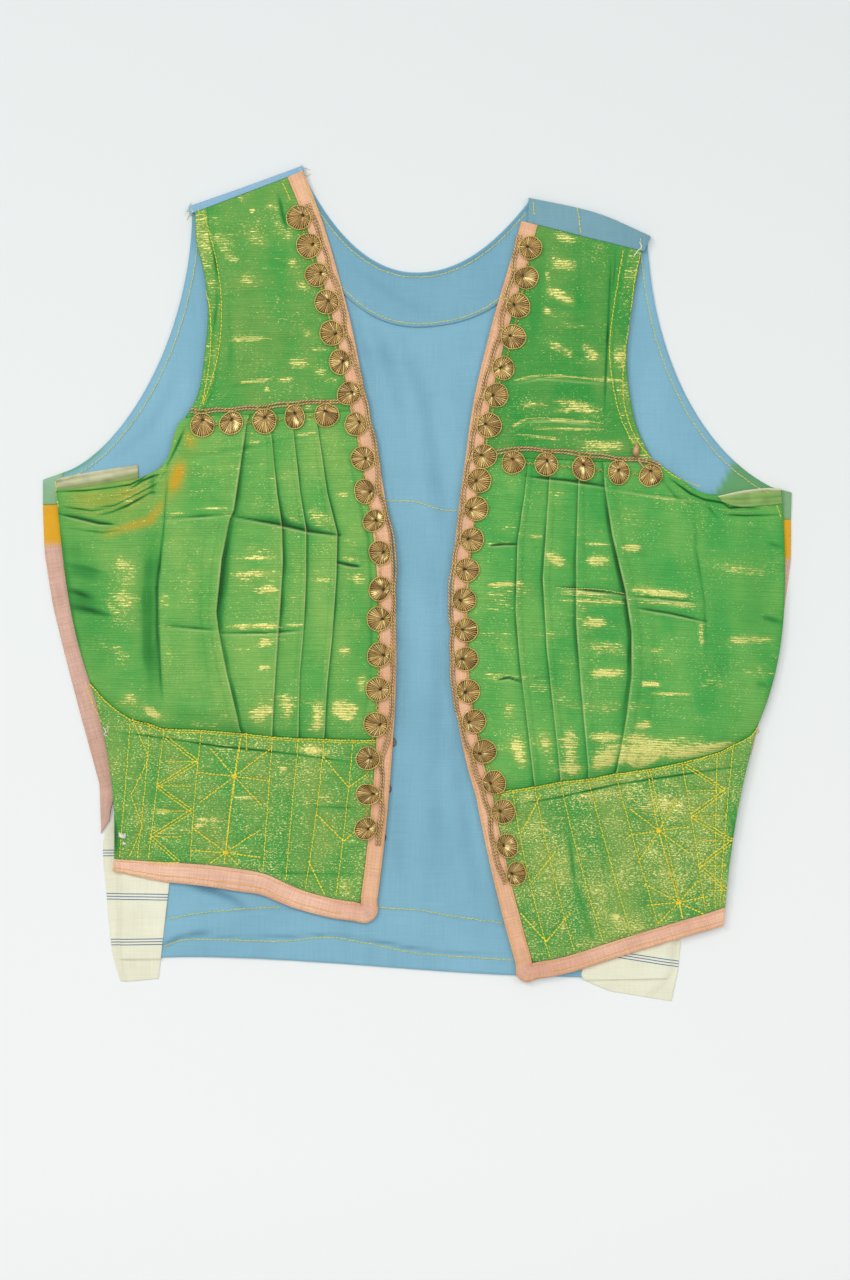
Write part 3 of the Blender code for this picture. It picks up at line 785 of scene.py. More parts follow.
class Finish(Enum):
    """Each finish that the waistcoat shows."""

    LEFT_YOKE = Lame(green=paint(70, 158, 70), veil=paint(116, 164, 78), ribbing=0.26,
                     specks=0.05, streaks=0.34)
    RIGHT_YOKE = Lame(green=paint(56, 150, 64), veil=paint(100, 158, 74), streaks=0.34,
                      ribbing=0.24, specks=0.0)
    LEFT_LAME = Lame(ribbing=0.34, streaks=0.42)
    RIGHT_LAME = Lame(green=paint(72, 164, 76), veil=paint(112, 178, 86), turn=0.05,
                      streaks=0.42, ribbing=0.32)
    LEFT_BAND = Lame(green=paint(80, 160, 74), veil=paint(122, 166, 78), specks=0.55)
    RIGHT_BAND = Lame(green=paint(78, 156, 72), veil=paint(128, 168, 80), turn=0.05, specks=0.7,
                      streaks=0.5)
    BLUE = Cotton(paint(140, 190, 210), paint(124, 174, 194), paint(62, 108, 134),
                  accent=paint(98, 158, 86))
    LEFT_SHOULDER = Cotton(paint(150, 190, 214), paint(134, 176, 202), paint(88, 130, 152))
    FACING = Cotton(paint(131, 180, 200), paint(117, 166, 186), paint(74, 116, 140))
    RIGHT_SHOULDER = Cotton(paint(130, 172, 184), paint(114, 156, 170), paint(70, 106, 124))
    PINK = Cotton(paint(246, 200, 162), paint(228, 174, 138), paint(168, 112, 84),
                  threads=1000.0, depth=0.0003, slub=1.5, contrast=2.2)
    HEM_PINK = Cotton(paint(250, 206, 178), paint(226, 172, 146), paint(160, 100, 80),
                      threads=1000.0, depth=0.0003, slub=1.5, contrast=3.0)
    SIDE_PINK = Cotton(paint(224, 184, 165), paint(206, 164, 145), paint(150, 106, 90),
                       accent=paint(226, 168, 36), threads=1000.0, depth=0.0003, slub=1.3,
                       contrast=2.2)
    CREAM = Cotton(paint(244, 243, 220), paint(232, 230, 200), paint(168, 162, 128),
                   accent=paint(58, 104, 150), depth=0.0001, apart=1.75)
    STRIP = Cotton(paint(216, 214, 178), paint(190, 188, 150), paint(96, 100, 66),
                   accent=paint(134, 158, 84), depth=0.0001)
    PATCH = Cotton(paint(140, 182, 132), paint(118, 162, 110), paint(70, 104, 70),
                   accent=paint(148, 186, 158))
    ROLL = Cotton(paint(152, 184, 106), paint(118, 162, 82), paint(52, 96, 40),
                  accent=paint(216, 214, 182), depth=0.0001, contrast=3.0)
    FOIL = Gilt(paint(196, 160, 88), paint(146, 112, 60), 0.4, 0.45)
    WIRE = Gilt(paint(238, 208, 116), paint(196, 158, 70), 0.36, 0.45)
    CORD = Gilt(paint(214, 176, 124), paint(160, 120, 78), 0.5, 0.3)
    YELLOW = Twist(paint(255, 236, 62), paint(230, 196, 34))
    PALE = Twist(paint(216, 216, 128), paint(194, 196, 108))
    ORANGE = Twist(paint(240, 196, 104), paint(226, 172, 80))
    WHITE = Twist(paint(240, 240, 228), paint(214, 212, 196))
    # Painted highlight: the bright gold of fold crests that catch the light.
    WEFT = Twist(paint(250, 234, 136), paint(214, 198, 100))
    METAL = DarkMetal()


@cache
def material_of(finish: Finish) -> bpy.types.Material:
    """A finish's material, made at its first use."""
    return finish.value.material(finish.name.lower())


# Meshes


def placed(name: str, data: bpy.types.ID) -> Piece:
    """Puts a mesh, a light or a camera into the scene.

    Args:
        name: The object's name.
        data: What it shows.

    Returns:
        The object.
    """
    made = bpy.data.objects.new(name, data)
    bpy.context.scene.collection.objects.link(made)
    return made


def mesh_piece(name: str, points: Array, faces: list, finishes: Sequence[Finish], kinds: Array,
               smooth: Array, masks: dict[str, Array]) -> Piece:
    """Makes a piece of the garment.

    Args:
        name: Its name.
        points: Its points in millimetres.
        faces: The points of each face.
        finishes: Its finishes.
        kinds: Which finish each face has.
        smooth: Whether each face is shaded smooth.
        masks: Values that its points carry, by name.

    Returns:
        The piece.
    """
    mesh = bpy.data.meshes.new(name)
    mesh.from_pydata((points * MM).tolist(), [], faces)
    for finish in finishes:
        mesh.materials.append(material_of(finish))
    mesh.polygons.foreach_set("material_index", kinds)
    mesh.polygons.foreach_set("use_smooth", smooth)
    for key, values in masks.items():
        mask = mesh.attributes.new(key, "FLOAT", "POINT")
        mask.data.foreach_set("value", values.astype(np.float32))
    mesh.update()
    return placed(name, mesh)


def tube_faces(rings: int, sides: int, closed: bool = False) -> Array:
    """Joins rings of points into a tube.

    Args:
        rings: How many rings there are.
        sides: How many points each has.
        closed: Whether the last ring joins the first.

    Returns:
        The four points of each face.
    """
    index = np.arange(rings * sides).reshape(rings, sides)
    after = np.roll(index, -1, axis=0) if closed else index[1:]
    before = index if closed else index[:-1]
    quads = np.stack([before, np.roll(before, -1, 1), np.roll(after, -1, 1), after], -1)
    return quads.reshape(-1, 4)


def tube_points(route: Array, radii: Array, sides: int) -> Array:
    """Rings of points round a route that never runs straight up.

    Args:
        route: The route's points.
        radii: A radius for each point and side, or one for all.
        sides: How many points a ring has.

    Returns:
        The points, ring after ring.
    """
    run = np.gradient(route, axis=0)
    run = run / np.linalg.norm(run, axis=1)[:, None]
    aside = np.cross(run, UP)
    aside = aside / np.linalg.norm(aside, axis=1)[:, None]
    over = np.cross(aside, run)
    angles = np.arange(sides) * math.tau / sides
    radii = np.broadcast_to(radii, (len(route), sides))[..., None]
    ring = aside[:, None] * np.cos(angles)[None, :, None]
    ring = ring + over[:, None] * np.sin(angles)[None, :, None]
    return (route[:, None] + ring * radii).reshape(-1, 3)


class Solid:
    """Gathers points and faces into one mesh."""

    def __init__(self) -> None:
        """Starts empty."""
        self.blocks: list[tuple] = []
        self.count = 0

    def take(self, points: Array, faces: Array, finish: int = 0, shade: object = 0.0,
             smooth: bool = True) -> None:
        """Adds points and faces.

        Args:
            points: The points in millimetres.
            faces: The points of each face, counted from the first of these points.
            finish: Which of the piece's finishes the faces have.
            shade: How dark they are, one value or one for each point.
            smooth: Whether they are shaded smooth.
        """
        count = len(faces)
        self.blocks.append((points, np.asarray(faces) + self.count, np.full(count, finish),
                            np.broadcast_to(shade, len(points)), np.full(count, smooth)))
        self.count += len(points)

    def tube(self, route: Array, radius: object, sides: int, finish: int,
             shade: object = 0.0) -> None:
        """Adds a tube with closed ends.

        Args:
            route: The places that it runs along.
            radius: Its radius, one or one for each point and side.
            sides: How many sides it has.
            finish: Which of the piece's finishes it has.
            shade: How dark it is, one value or one for each point.
        """
        points = tube_points(route, radius, sides)
        self.take(points, tube_faces(len(route), sides), finish, shade)
        first = np.arange(sides)
        self.take(points[:sides], first[None, ::-1], finish)
        self.take(points[-sides:], first[None], finish)

    def piece(self, name: str, *finishes: Finish) -> Piece:
        """Makes the piece.

        Args:
            name: Its name.
            finishes: Its finishes.

        Returns:
            The piece.
        """
        points, blocks, kinds, shades, smooth = zip(*self.blocks)
        faces = [face for block in blocks for face in block.tolist()]
        return mesh_piece(name, np.vstack(points), faces, finishes, np.concatenate(kinds),
                          np.concatenate(smooth), {"shade": np.concatenate(shades)})


MASKS = ("shade", "wear", "shine", "stain", "accent")
UNDER_CELL = 6.0


@dataclass
class Sheet:
    """A wall of cloth: a grid in plan with the heights of its two faces."""

    name: str
    plan: Array
    top: Array
    under: Array
    masks: dict[str, Array]
    rim: float = 0.45
    roll: float = 0.5
    along: bool = False

    def _rimmed(self) -> None:
        """Adds a line of points just inside each side and turns the outermost ones down."""
        values = {"top": self.top, "under": self.under, **self.masks}
        for axis in (0, 1):
            for end, near in ((0, 1), (-1, -2)):
                plan = np.moveaxis(self.plan, axis, 0)
                step = plan[near] - plan[end]
                size = np.linalg.norm(step, axis=1)
                share = np.minimum(self.rim / np.maximum(size, 1e-6), 0.45)[:, None]
                spot = 1 if end == 0 else len(plan) - 1
                plan = np.insert(plan, spot, plan[end] + step * share, axis=0)
                self.plan = np.moveaxis(plan, 0, axis)
                for key, grid in values.items():
                    grid = np.moveaxis(grid, axis, 0)
                    row = grid[end] + (grid[near] - grid[end]) * share[:, 0]
                    values[key] = np.moveaxis(np.insert(grid, spot, row, axis=0), 0, axis)
        self.top, self.under = values.pop("top"), values.pop("under")
        self.masks = values
        drop = np.zeros(self.top.shape)
        for edge in (drop[0], drop[-1], drop[:, 0], drop[:, -1]):
            edge[:] = self.roll
        self.top = np.maximum(self.top - drop, self.under + 0.1)

    def build(self, *finishes: Finish, second: Optional[Array] = None) -> Piece:
        """Makes the sheet.

        Args:
            finishes: Its finish, or two.
            second: Where the second finish is, as a mask over the grid's points.

        Returns:
            The piece, with its masks and its cloth's own coordinates.
        """
        if second is not None:
            self.masks["second"] = second
        self._rimmed()
        index = np.arange(self.top.size).reshape(self.top.shape)
        flat = self.plan.reshape(-1, 2)
        quads = np.stack([index[:-1, :-1], index[1:, :-1], index[1:, 1:], index[:-1, 1:]], -1)
        quads = quads.reshape(-1, 4)
        ring = np.concatenate([index[:-1, 0], index[-1, :-1], index[:0:-1, -1], index[0, :0:-1]])
        loop, following = flat[ring], flat[np.roll(ring, -1)]
        lower = self._underside(index)
        if np.sum(loop[:, 0] * following[:, 1] - following[:, 0] * loop[:, 1]) < 0:
            quads, ring = quads[:, ::-1], ring[::-1]
            lower = [face[::-1] for face in lower]
        used = np.unique(np.concatenate(lower))
        kept = np.concatenate([index.ravel(), used])
        twin = np.zeros(index.size, int)
        twin[used] = index.size + np.arange(len(used))
        after = np.roll(ring, -1)
        sides = np.stack([twin[ring], twin[after], after, ring], axis=1)
        faces = [*quads, *(twin[face][::-1] for face in lower), *sides]
        heights = np.concatenate([self.top.ravel(), self.under.ravel()[used]])
        nothing = np.zeros(self.top.shape)
        masks = {key: self.masks.get(key, nothing).ravel()[kept] for key in MASKS}
        kinds = np.zeros(len(faces), np.int32)
        if second is not None:
            marks = self.masks["second"].ravel()[kept]
            kinds[:] = [marks[face].mean() > 0.5 for face in faces]
        made = mesh_piece(self.name, np.column_stack([flat[kept], heights]),
                          [face.tolist() for face in faces], finishes, kinds,
                          np.ones(len(faces), bool), masks)
        self._coordinates(made.data, kept[np.concatenate(faces)])
        return made

    def _picks(self, axis: int) -> list[int]:
        """Picks lines of the grid that lie wide apart, its first and last among them.

        Args:
            axis: 0 for columns and 1 for rows.

        Returns:
            The numbers of the picked lines.
        """
        lines = np.moveaxis(self.plan, axis, 0)
        picks = [0]
        for spot in range(1, len(lines) - 1):
            if np.linalg.norm(lines[spot] - lines[picks[-1]], axis=1).mean() >= UNDER_CELL:
                picks.append(spot)
        return [*picks, len(lines) - 1]

    def _underside(self, index: Array) -> list[Array]:
        """Large faces over the whole grid that keep every point along its four sides.

        Args:
            index: The number of each of the grid's points.

        Returns:
            The points of each face, in the order of the upper faces.
        """
        last, end = index.shape[0] - 1, index.shape[1] - 1
        columns, rows = self._picks(0), self._picks(1)
        faces = []
        for a, b in zip(columns, columns[1:]):
            for c, d in zip(rows, rows[1:]):
                level, upright = np.arange(a, b), np.arange(c, d)
                first = index[level if c == 0 else level[:1], c]
                second = index[b, upright if b == last else upright[:1]]
                third = index[level[::-1] + 1 if d == end else [b], d]
                fourth = index[a, upright[::-1] + 1 if a == 0 else [d]]
                faces.append(np.concatenate([first, second, third, fourth]))
        return faces

    def _coordinates(self, mesh: bpy.types.Mesh, corners: Array) -> None:
        """Lays the cloth's own coordinates, in metres along its threads, on the mesh.

        Args:
            mesh: The mesh.
            corners: The grid's point at each corner of each face.
        """
        grid = self.plan.reshape(-1, 2) * MM
        if self.along:
            widths = np.linalg.norm(np.diff(self.plan, axis=0), axis=2).mean(axis=1)
            runs = np.linalg.norm(np.diff(self.plan, axis=1), axis=2).mean(axis=0)
            u, v = (np.concatenate([[0.0], np.cumsum(part)]) for part in (widths, runs))
            grid = np.dstack(np.meshgrid(u, v, indexing="ij")).reshape(-1, 2) * MM
        layer = mesh.uv_layers.new(name="cloth")
        layer.data.foreach_set("uv", grid[corners].ravel())


class Cut(NamedTuple):
    """The flat size that a piece of cloth was cut to, in metres, and what it lies on."""

    width: float
    length: float
    area: float
    under: tuple = ("back_panel",)
    held: str = "laid"


def join_part(piece: Piece, node: str = "") -> None:
    """Lets a piece ride on the part and stand for its solid.

    Args:
        piece: The piece.
        node: The solid that it stands for, if it does.
    """
    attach(piece, BODY)
    if node:
        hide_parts(node)
    width, length, _ = piece.dimensions
    cloth = sum(face.area for face in piece.data.polygons) / 2
    LOG.info("%s: %d faces, %.3f x %.3f m, %.4f square metres of cloth", piece.name,
             len(piece.data.polygons), width, length, cloth)


class Ground:
    """What lies under a place: the faces of the pieces made so far."""

    def __init__(self) -> None:
        """Starts with nothing."""
        self.trees: list[BVHTree] = []

    def take(self, piece: Piece) -> None:
        """Remembers a piece's faces."""
        mesh = piece.data
        self.trees.append(BVHTree.FromPolygons([vertex.co for vertex in mesh.vertices],
                                               [face.vertices[:] for face in mesh.polygons]))

    def height(self, x: float, y: float) -> float:
        """Finds the highest face at a place.

        Args:
            x: The place across.
            y: The place along.

        Returns:
            Its height, or 0 where nothing lies.
        """
        floor = 0.0
        for tree in self.trees:
            hit = tree.ray_cast(Vector((x, y, 100)) * MM, Vector((0, 0, -1)))[0]
            if hit and hit.z / MM > floor:
                floor = hit.z / MM
        return floor

    def heights(self, line: Array) -> Array:
        """The highest face at each of a line's places, as one column."""
        return np.array([[self.height(*place)] for place in line])


# Stitches


class StitchRow(NamedTuple):
    """A row of stitches along places in the photo's pixels."""

    line: tuple = ()
    pitch: float = 2.4
    width: float = 0.8
    rows: int = 1
    apart: float = 1.5
    slant: float = 0.12


GRAIN = ((-0.5, 0.0), (-0.34, 0.8), (0.34, 0.8), (0.5, 0.0))
GRAIN_SIDES = 5


@dataclass
class Stitching:
    """Rows of stitches of one thread, each stitch a small grain that dips into the cloth."""

    name: str
    finish: Finish
    ground: Ground
    fill: float = 0.92
    dip: float = 1.5
    rows: list[tuple[Array, StitchRow]] = field(default_factory=list)

    def sew(self, row: StitchRow, line: Optional[Array] = None) -> None:
        """Adds a row, once or twice side by side.

        Args:
            row: The row.
            line: Where it runs, in millimetres, if it has no places of its own.
        """
        line = curved(seen(row.line), 1.0) if line is None else line
        if row.rows == 1:
            self.rows.append((line, row))
            return
        out = outward(line, 1) * row.apart / 2
        self.rows += [(line + out, row), (line - out, row)]

    def build(self) -> Piece:
        """Makes all the rows on the cloth under them.

        Returns:
            The piece.
        """
        random = np.random.default_rng(sum(map(ord, self.name)))
        solid = Solid()
        template, faces = self._grain()
        for line, row in self.rows:
            spots = evenly(line, row.pitch)
            for start, end in zip(spots[:-1], spots[1:]):
                middle = (start + end) / 2 + random.normal(0, 0.1, 2)
                run = (end - start) * self.fill * random.uniform(0.9, 1.1)
                turn = row.slant + random.normal(0, 0.07)
                run = np.array([run[0] - run[1] * turn, run[1] + run[0] * turn])
                out = np.array([-run[1], run[0]]) / float(np.hypot(*run))
                height, after, before = (self.ground.height(*(middle + run * part))
                                         for part in (0, 0.5, -0.5))
                if not height:
                    continue
                slope = max(-0.8, min(0.8, after - before))
                width = row.width * random.uniform(0.9, 1.12)
                points = np.empty_like(template)
                points[:, :2] = middle + template[:, :1] * run + template[:, 1:2] * out * width / 2
                bow = 0.26 - self.dip * template[:, 0] ** 2
                points[:, 2] = height + template[:, 0] * slope + template[:, 2] * width * 0.4 + bow
                solid.take(points, faces)
        return solid.piece(self.name, self.finish)

    @staticmethod
    def _grain() -> tuple[Array, Array]:
        """Makes one stitch of unit size, its ends pinched.

        Returns:
            Its points and its faces of four corners.
        """
        angles = np.arange(GRAIN_SIDES) * math.tau / GRAIN_SIDES
        rings = [np.stack([np.full(GRAIN_SIDES, along), np.cos(angles) * (size + 0.05),
                           np.sin(angles) * (size + 0.05)], axis=1) for along, size in GRAIN]
        return np.concatenate(rings), tube_faces(len(GRAIN), GRAIN_SIDES)


# The back


LEFT_SIDE = (
    (-219, 69), (-219, 47), (-218, 20), (-213, -11), (-206, -40), (-195, -82), (-184, -122),
    (-183, -150), (-183, -233),
)
RIGHT_SIDE = (
    (220, 60), (219.5, 39), (219.5, 16), (214.5, -22), (203, -69), (195, -105), (185, -140),
    (172, -180), (160, -212), (156, -242),
)
LEFT_ARMHOLE = ((-219, 69), (-185, 79), (-139, 150), (-139, 232))
RIGHT_ARMHOLE = ((143, 214), (146, 142), (176, 82), (220, 60))
LEFT_NECK = ((-71.4, 256.9), (-50, 212), (-25, 193), (0, 193))
RIGHT_NECK = ((0, 193), (28, 193), (50, 212), (69.5, 237))
BACK_HEM = ((-183, -233), (-90, -224), (40, -250), (156, -242))
LEFT_FACING = ((-100, 236), (-60, 213), (-50, 160), (0, 159))
RIGHT_FACING = ((0, 159), (48, 160), (60, 180), (96, 222))

# Places on each shoulder's fold, each with the seam's place across from it.
LEFT_SHOULDER = ((-141, 234, -140.5, 228.6), (-105, 246.6, -105, 242.1), (-71, 259, -69.5, 255.6))
RIGHT_SHOULDER = (
    (69.5, 239.3, 69, 223.5), (100, 233, 95, 217), (119, 227.2, 117, 211.5),
    (145, 215.5, 141, 205.5),
)


def side_point(side: Sequence, rows: Array) -> Array:
    """Finds places on a side edge of the back.

    Args:
        side: The edge, from the underarm to the hem.
        rows: Shares of that way.

    Returns:
        The places.
    """
    x, y = np.array(side, float).T
    heights = y[0] + (y[-1] - y[0]) * rows
    return np.stack([np.interp(-heights, -y, x), heights], axis=-1)


@dataclass
class BackPanel:
    """The blue cotton back, its inside in sight, with a turned hem and turned armholes."""

    lip: float = 1.8
    rows: int = 230
    turned: float = 0.35
    armhole_turn: float = 4.6
    hem_turn: tuple = ((150, 921), (254, 910), (377, 909), (420, 912), (447, 917), (503, 925),
                       (620, 935), (700, 930))
    creases: tuple = (
        Mark(((372, 322), (392, 372), (402, 420)), 4.5, -0.8, 0.22),
        Mark(((402, 340), (425, 400), (434, 470), (446, 540)), 5.0, -0.9, 0.24),
        Mark(((386, 330), (410, 392), (424, 452)), 4.0, 0.6),
        Mark(((350, 292), (358, 330), (372, 372)), 3.5, -0.5, 0.18),
        Mark(((448, 345), (452, 420), (450, 480)), 6.0, 0.5),
        Mark(((396, 540), (402, 640), (399, 735)), 4.0, -0.5, 0.14),
        Mark(((412, 560), (418, 660), (414, 780)), 6.0, 0.6),
        Mark(((434, 560), (438, 660), (436, 790), (442, 890)), 5.0, -0.7, 0.18),
        Mark(((452, 730), (462, 810), (476, 890)), 5.0, -0.6, 0.16),
        Mark(((402, 780), (398, 850), (404, 905)), 5.0, -0.5, 0.12),
        Mark(((180, 895), (260, 893), (330, 905), (400, 900)), 4.0, 0.5),
        Mark(((188, 885), (214, 891), (232, 898), (247, 909)), 2.2, -0.8, 0.75),
        Mark(((162, 946), (178, 938), (192, 934), (210, 932)), 1.8, -0.6, 0.6),
        Mark(((190, 936), (240, 937), (290, 936), (328, 934), (372, 940), (420, 949), (520, 957)),
             0.9, -0.3, 0.5),
        Mark(((196, 250), (182, 330), (158, 400)), 4.0, 0.5),
        Mark(((110, 462), (150, 430), (176, 380)), 4.0, -0.5, 0.14),
        Mark(((668, 300), (672, 350), (690, 400)), 4.0, -0.5, 0.14),
        Mark(((706, 440), (735, 470), (770, 490)), 4.0, -0.4, 0.12),
    )

    def outline(self) -> Array:
        """Runs along the upper edge.

        Returns:
            The edge's points, from the left underarm round to the right one.
        """
        drop = np.array([0.0, -self.lip])
        left, right = (np.array(table)[:, :2] + drop for table in (LEFT_SHOULDER, RIGHT_SHOULDER))
        left[0], left[-1] = LEFT_ARMHOLE[-1], LEFT_NECK[0]
        right[0], right[-1] = RIGHT_NECK[-1], RIGHT_ARMHOLE[0]
        return np.concatenate([
            cubic(LEFT_ARMHOLE, 38)[:-1], evenly(left, 3)[:-1], cubic(LEFT_NECK, 32)[:-1],
            cubic(RIGHT_NECK, 32)[:-1], evenly(right, 3)[:-1], cubic(RIGHT_ARMHOLE, 38),
        ])

    def grid(self) -> Array:
        """Lays out the panel.

        Returns:
            Its grid in plan.
        """
        top = self.outline()
        line = cubic(BACK_HEM, 60)
        span = (top[:, 0] - top[0, 0]) / (top[-1, 0] - top[0, 0])
        span = 0.45 * span + 0.55 * lengths(top) / lengths(top)[-1]
        hem_x = line[0, 0] + span * (line[-1, 0] - line[0, 0])
        hem = np.stack([hem_x, np.interp(hem_x, *line.T)], axis=1)
        rows = np.linspace(0, 1, self.rows)
        plan = np.swapaxes(between(top, hem, rows), 0, 1)
        for side, share, end in ((LEFT_SIDE, 1 - span, 0), (RIGHT_SIDE, span, -1)):
            plan = plan + share[:, None, None] * (side_point(side, rows) - plan[end])
        return plan

    def build(self) -> Piece:
        """Makes the panel.

        Returns:
            The piece.
        """
        plan = self.grid()
        x, y = plan[..., 0], plan[..., 1]
        rise, marks = relief(plan, self.creases)
        uneven = mottle(x, y, 34, 3) * 0.3 + mottle(x * 1.6, y * 0.5, 12, 4) * 0.16
        turn = np.interp(x, *seen(self.hem_turn).T) - y
        armhole = np.minimum(*(off_line(x, y, cubic(edge, 30))[0]
                               for edge in (LEFT_ARMHOLE, RIGHT_ARMHOLE)))
        turned = ease(turn, -0.4, 0.5) + ease(self.armhole_turn - armhole, -0.4, 0.4)
        top = np.clip(BACK_WALL + rise + uneven + self.turned * turned, 0.9, 2.4)
        shade = marks["shade"] + 0.12 * bell(turn + 0.8, 1.0)
        shade = shade + 0.06 * np.maximum(mottle(x * 2.2, y * 0.35, 16, 6), 0)
        green = 0.9 * ease(x - 0.6 * y, 149.8, 153.4) * ease(y, 20, 30)
        green = green + 0.7 * ease(-x, 186, 200) * bell(armhole, 2.2)
        masks = {"shade": shade + 0.14 * bell(armhole, 1.2), "accent": green}
        return Sheet("back_panel", plan, top, np.zeros(top.shape), masks).build(Finish.BLUE)


@dataclass
class NeckFacing:
    """The shaped band that lies on the back round the neck."""

    ends: tuple = ((-100, 241), (97, 229))
    inset: tuple = (0.4, -0.8)
    rows: int = 30
    creases: tuple = (
        Mark(((352, 268), (398, 300), (445, 322)), 3.0, -0.35, 0.12),
        Mark(((470, 272), (500, 290), (520, 262)), 3.0, 0.3),
    )

    def lower(self) -> Array:
        """The band's lower edge."""
        return np.concatenate([cubic(LEFT_FACING, 34)[:-1], cubic(RIGHT_FACING, 34)])

    def build(self) -> Piece:
        """Makes the band, with a turned lower edge.

        Returns:
            The piece.
        """
        inset = np.array(self.inset)
        neck = np.concatenate([
            self.ends[:1], cubic(LEFT_NECK, 33)[:-1] + inset * (-1, 1),
            cubic(RIGHT_NECK, 33) + inset, self.ends[1:],
        ])
        rows = np.sort(np.concatenate([np.linspace(0, 1, self.rows), [0.955, 0.985]]))
        plan = np.swapaxes(between(neck, self.lower(), rows), 0, 1)
        x, y = plan[..., 0], plan[..., 1]
        edge = off_line(x, y, self.lower())[0]
        rim = off_line(x, y, neck)[0]
        rise, marks = relief(plan, self.creases)
        top = ON_BACK + THIN_WALL - 0.25 + mottle(x, y, 14, 8) * 0.18
        top = top + 0.3 * ease(4.2 - edge, -0.4, 0.4) + 0.25 * ease(3.2 - rim, -0.4, 0.4) + rise
        shade = marks["shade"] + 0.25 * bell(edge, 0.9) + 0.42 * ease(2.6 - rim, -0.4, 0.8)
        sheet = Sheet("neck_facing", plan, top, np.full(top.shape, ON_BACK), {"shade": shade},
                      roll=0.4)
        return sheet.build(Finish.FACING)


@dataclass
class ShoulderStrip:
    """The back's cloth where it turns over the shoulder's fold and lies down to the seam.

    Its pleats are places across, in the photo's pixels.
    """

    side: Side
    table: tuple
    pleats: tuple = ()
    turn: tuple = (0, 0.25, 0.7, 1.2, 2.0)
    columns: int = 46
    rows: int = 14

    def build(self) -> Piece:
        """Makes the strip, round over its fold.

        Returns:
            The piece.
        """
        rows = across(self.table, self.columns)
        fold, seam = rows[:, :2], rows[:, 2:]
        size = np.linalg.norm(seam - fold, axis=1)
        inward = (seam - fold) / size[:, None]
        brink = self.turn[-1]
        rest = brink + (size - brink) * np.linspace(0, 1, self.rows)[1:, None]
        far = np.concatenate([np.outer(self.turn, np.ones(len(rows))), rest])
        plan = fold + inward * far[..., None]
        x, y = plan[..., 0], plan[..., 1]
        top = np.interp(far, self.turn, (1.6, 2.9, 3.8, 4.25, FRONT_BASE + LAME_WALL))
        under = np.interp(far, (0, 0.3, 1.3, 1.5), (0.8, 0.2, 0.0, FRONT_BASE))
        top = top + 0.15 * mottle(x, y, 9, 12) * ease(far, 1, 3)
        shade = 0.12 * bell(far - size, 1.2) + 0.05 * mottle(x, y, 8, 13)
        for place in self.pleats:
            gap = x - (place - PHOTO_MIDDLE[0]) * PHOTO_SCALE
            top -= 0.3 * bell(gap, 0.9) * ease(far, 1, 3)
            shade = shade + 0.15 * bell(gap, 0.8)
        sheet = Sheet(f"{self.side.value}_shoulder", plan, top, under, {"shade": np.abs(shade)},
                      roll=0.3)
        return sheet.build(Finish[f"{self.side.name}_SHOULDER"])


# The sides and the lining


@dataclass
class SideStrip:
    """A strip outside the back's side edge, between two shares of the edge's height."""

    name: str
    side: Side
    edge: tuple
    start: float
    end: float
    finish: Finish
    accent: tuple
    taper: tuple = ()
    slant: float = 0.0
    width: float = 12.5
    thick: float = 2.4
    shares: tuple = (0, 0.03, 0.1, 0.25, 0.4, 0.55, 0.7, 0.82, 0.9, 0.96, 1)

    def build(self) -> Piece:
        """Makes the strip.

        Returns:
            The piece.
        """
        rows = np.linspace(self.start, self.end, max(8, int((self.end - self.start) * 230)))
        inner = smoothed(side_point(self.edge, rows), 6)
        outer = inner + outward(inner, -self.side.hand) * self.width
        if self.taper:
            late = ease(rows, self.taper[0], self.end)[:, None]
            inner = inner + late * np.array(self.taper[1:])
        shares = np.array(self.shares)
        plan = between(inner, outer, shares)
        plan[..., 1] -= self.slant * shares[:, None] * ease(rows, self.end, self.start)
        x, y = plan[..., 0], plan[..., 1]
        share = np.broadcast_to(shares[:, None], x.shape)
        top = self.thick - 0.3 + 0.2 * np.sin(np.pi * share) + 0.14 * mottle(x, y, 7, 21)
        top = top - 0.9 * ease(share, 0.86, 1.0)
        shade = 0.2 * bell(share - 0.06, 0.05) + 0.15 * np.maximum(mottle(x, y, 5, 22), 0)
        masks = {"shade": shade, "accent": np.interp(seen_rows(y), *zip(*self.accent))}
        sheet = Sheet(self.name, plan, np.maximum(top, 0.5), np.zeros(top.shape), masks,
                      along=True)
        return sheet.build(self.finish)


# Rows of each tail: its outer edge, where it leaves the back's edge, and its inner edge.
LEFT_TAIL = (
    (-188.2, -145.4, -184.2, -146.5, -150, -146), (-194.2, -161, -184.2, -163, -151, -165),
    (-192, -193, -184.2, -190, -153, -185), (-190, -215, -184.2, -213, -156, -211),
    (-187.6, -232, -184.2, -233.4, -158.5, -233.2), (-183.5, -246, -181, -246.4, -160, -244.5),
)
RIGHT_TAIL = (
    (169, -196, 166.8, -196, 107, -212), (165.3, -212, 161.6, -212, 106, -224),
    (163, -228, 159, -229, 104.5, -234), (162, -239, 157.4, -242.5, 103, -244.1),
    (158, -258.6, 143, -256, 119, -252),
)


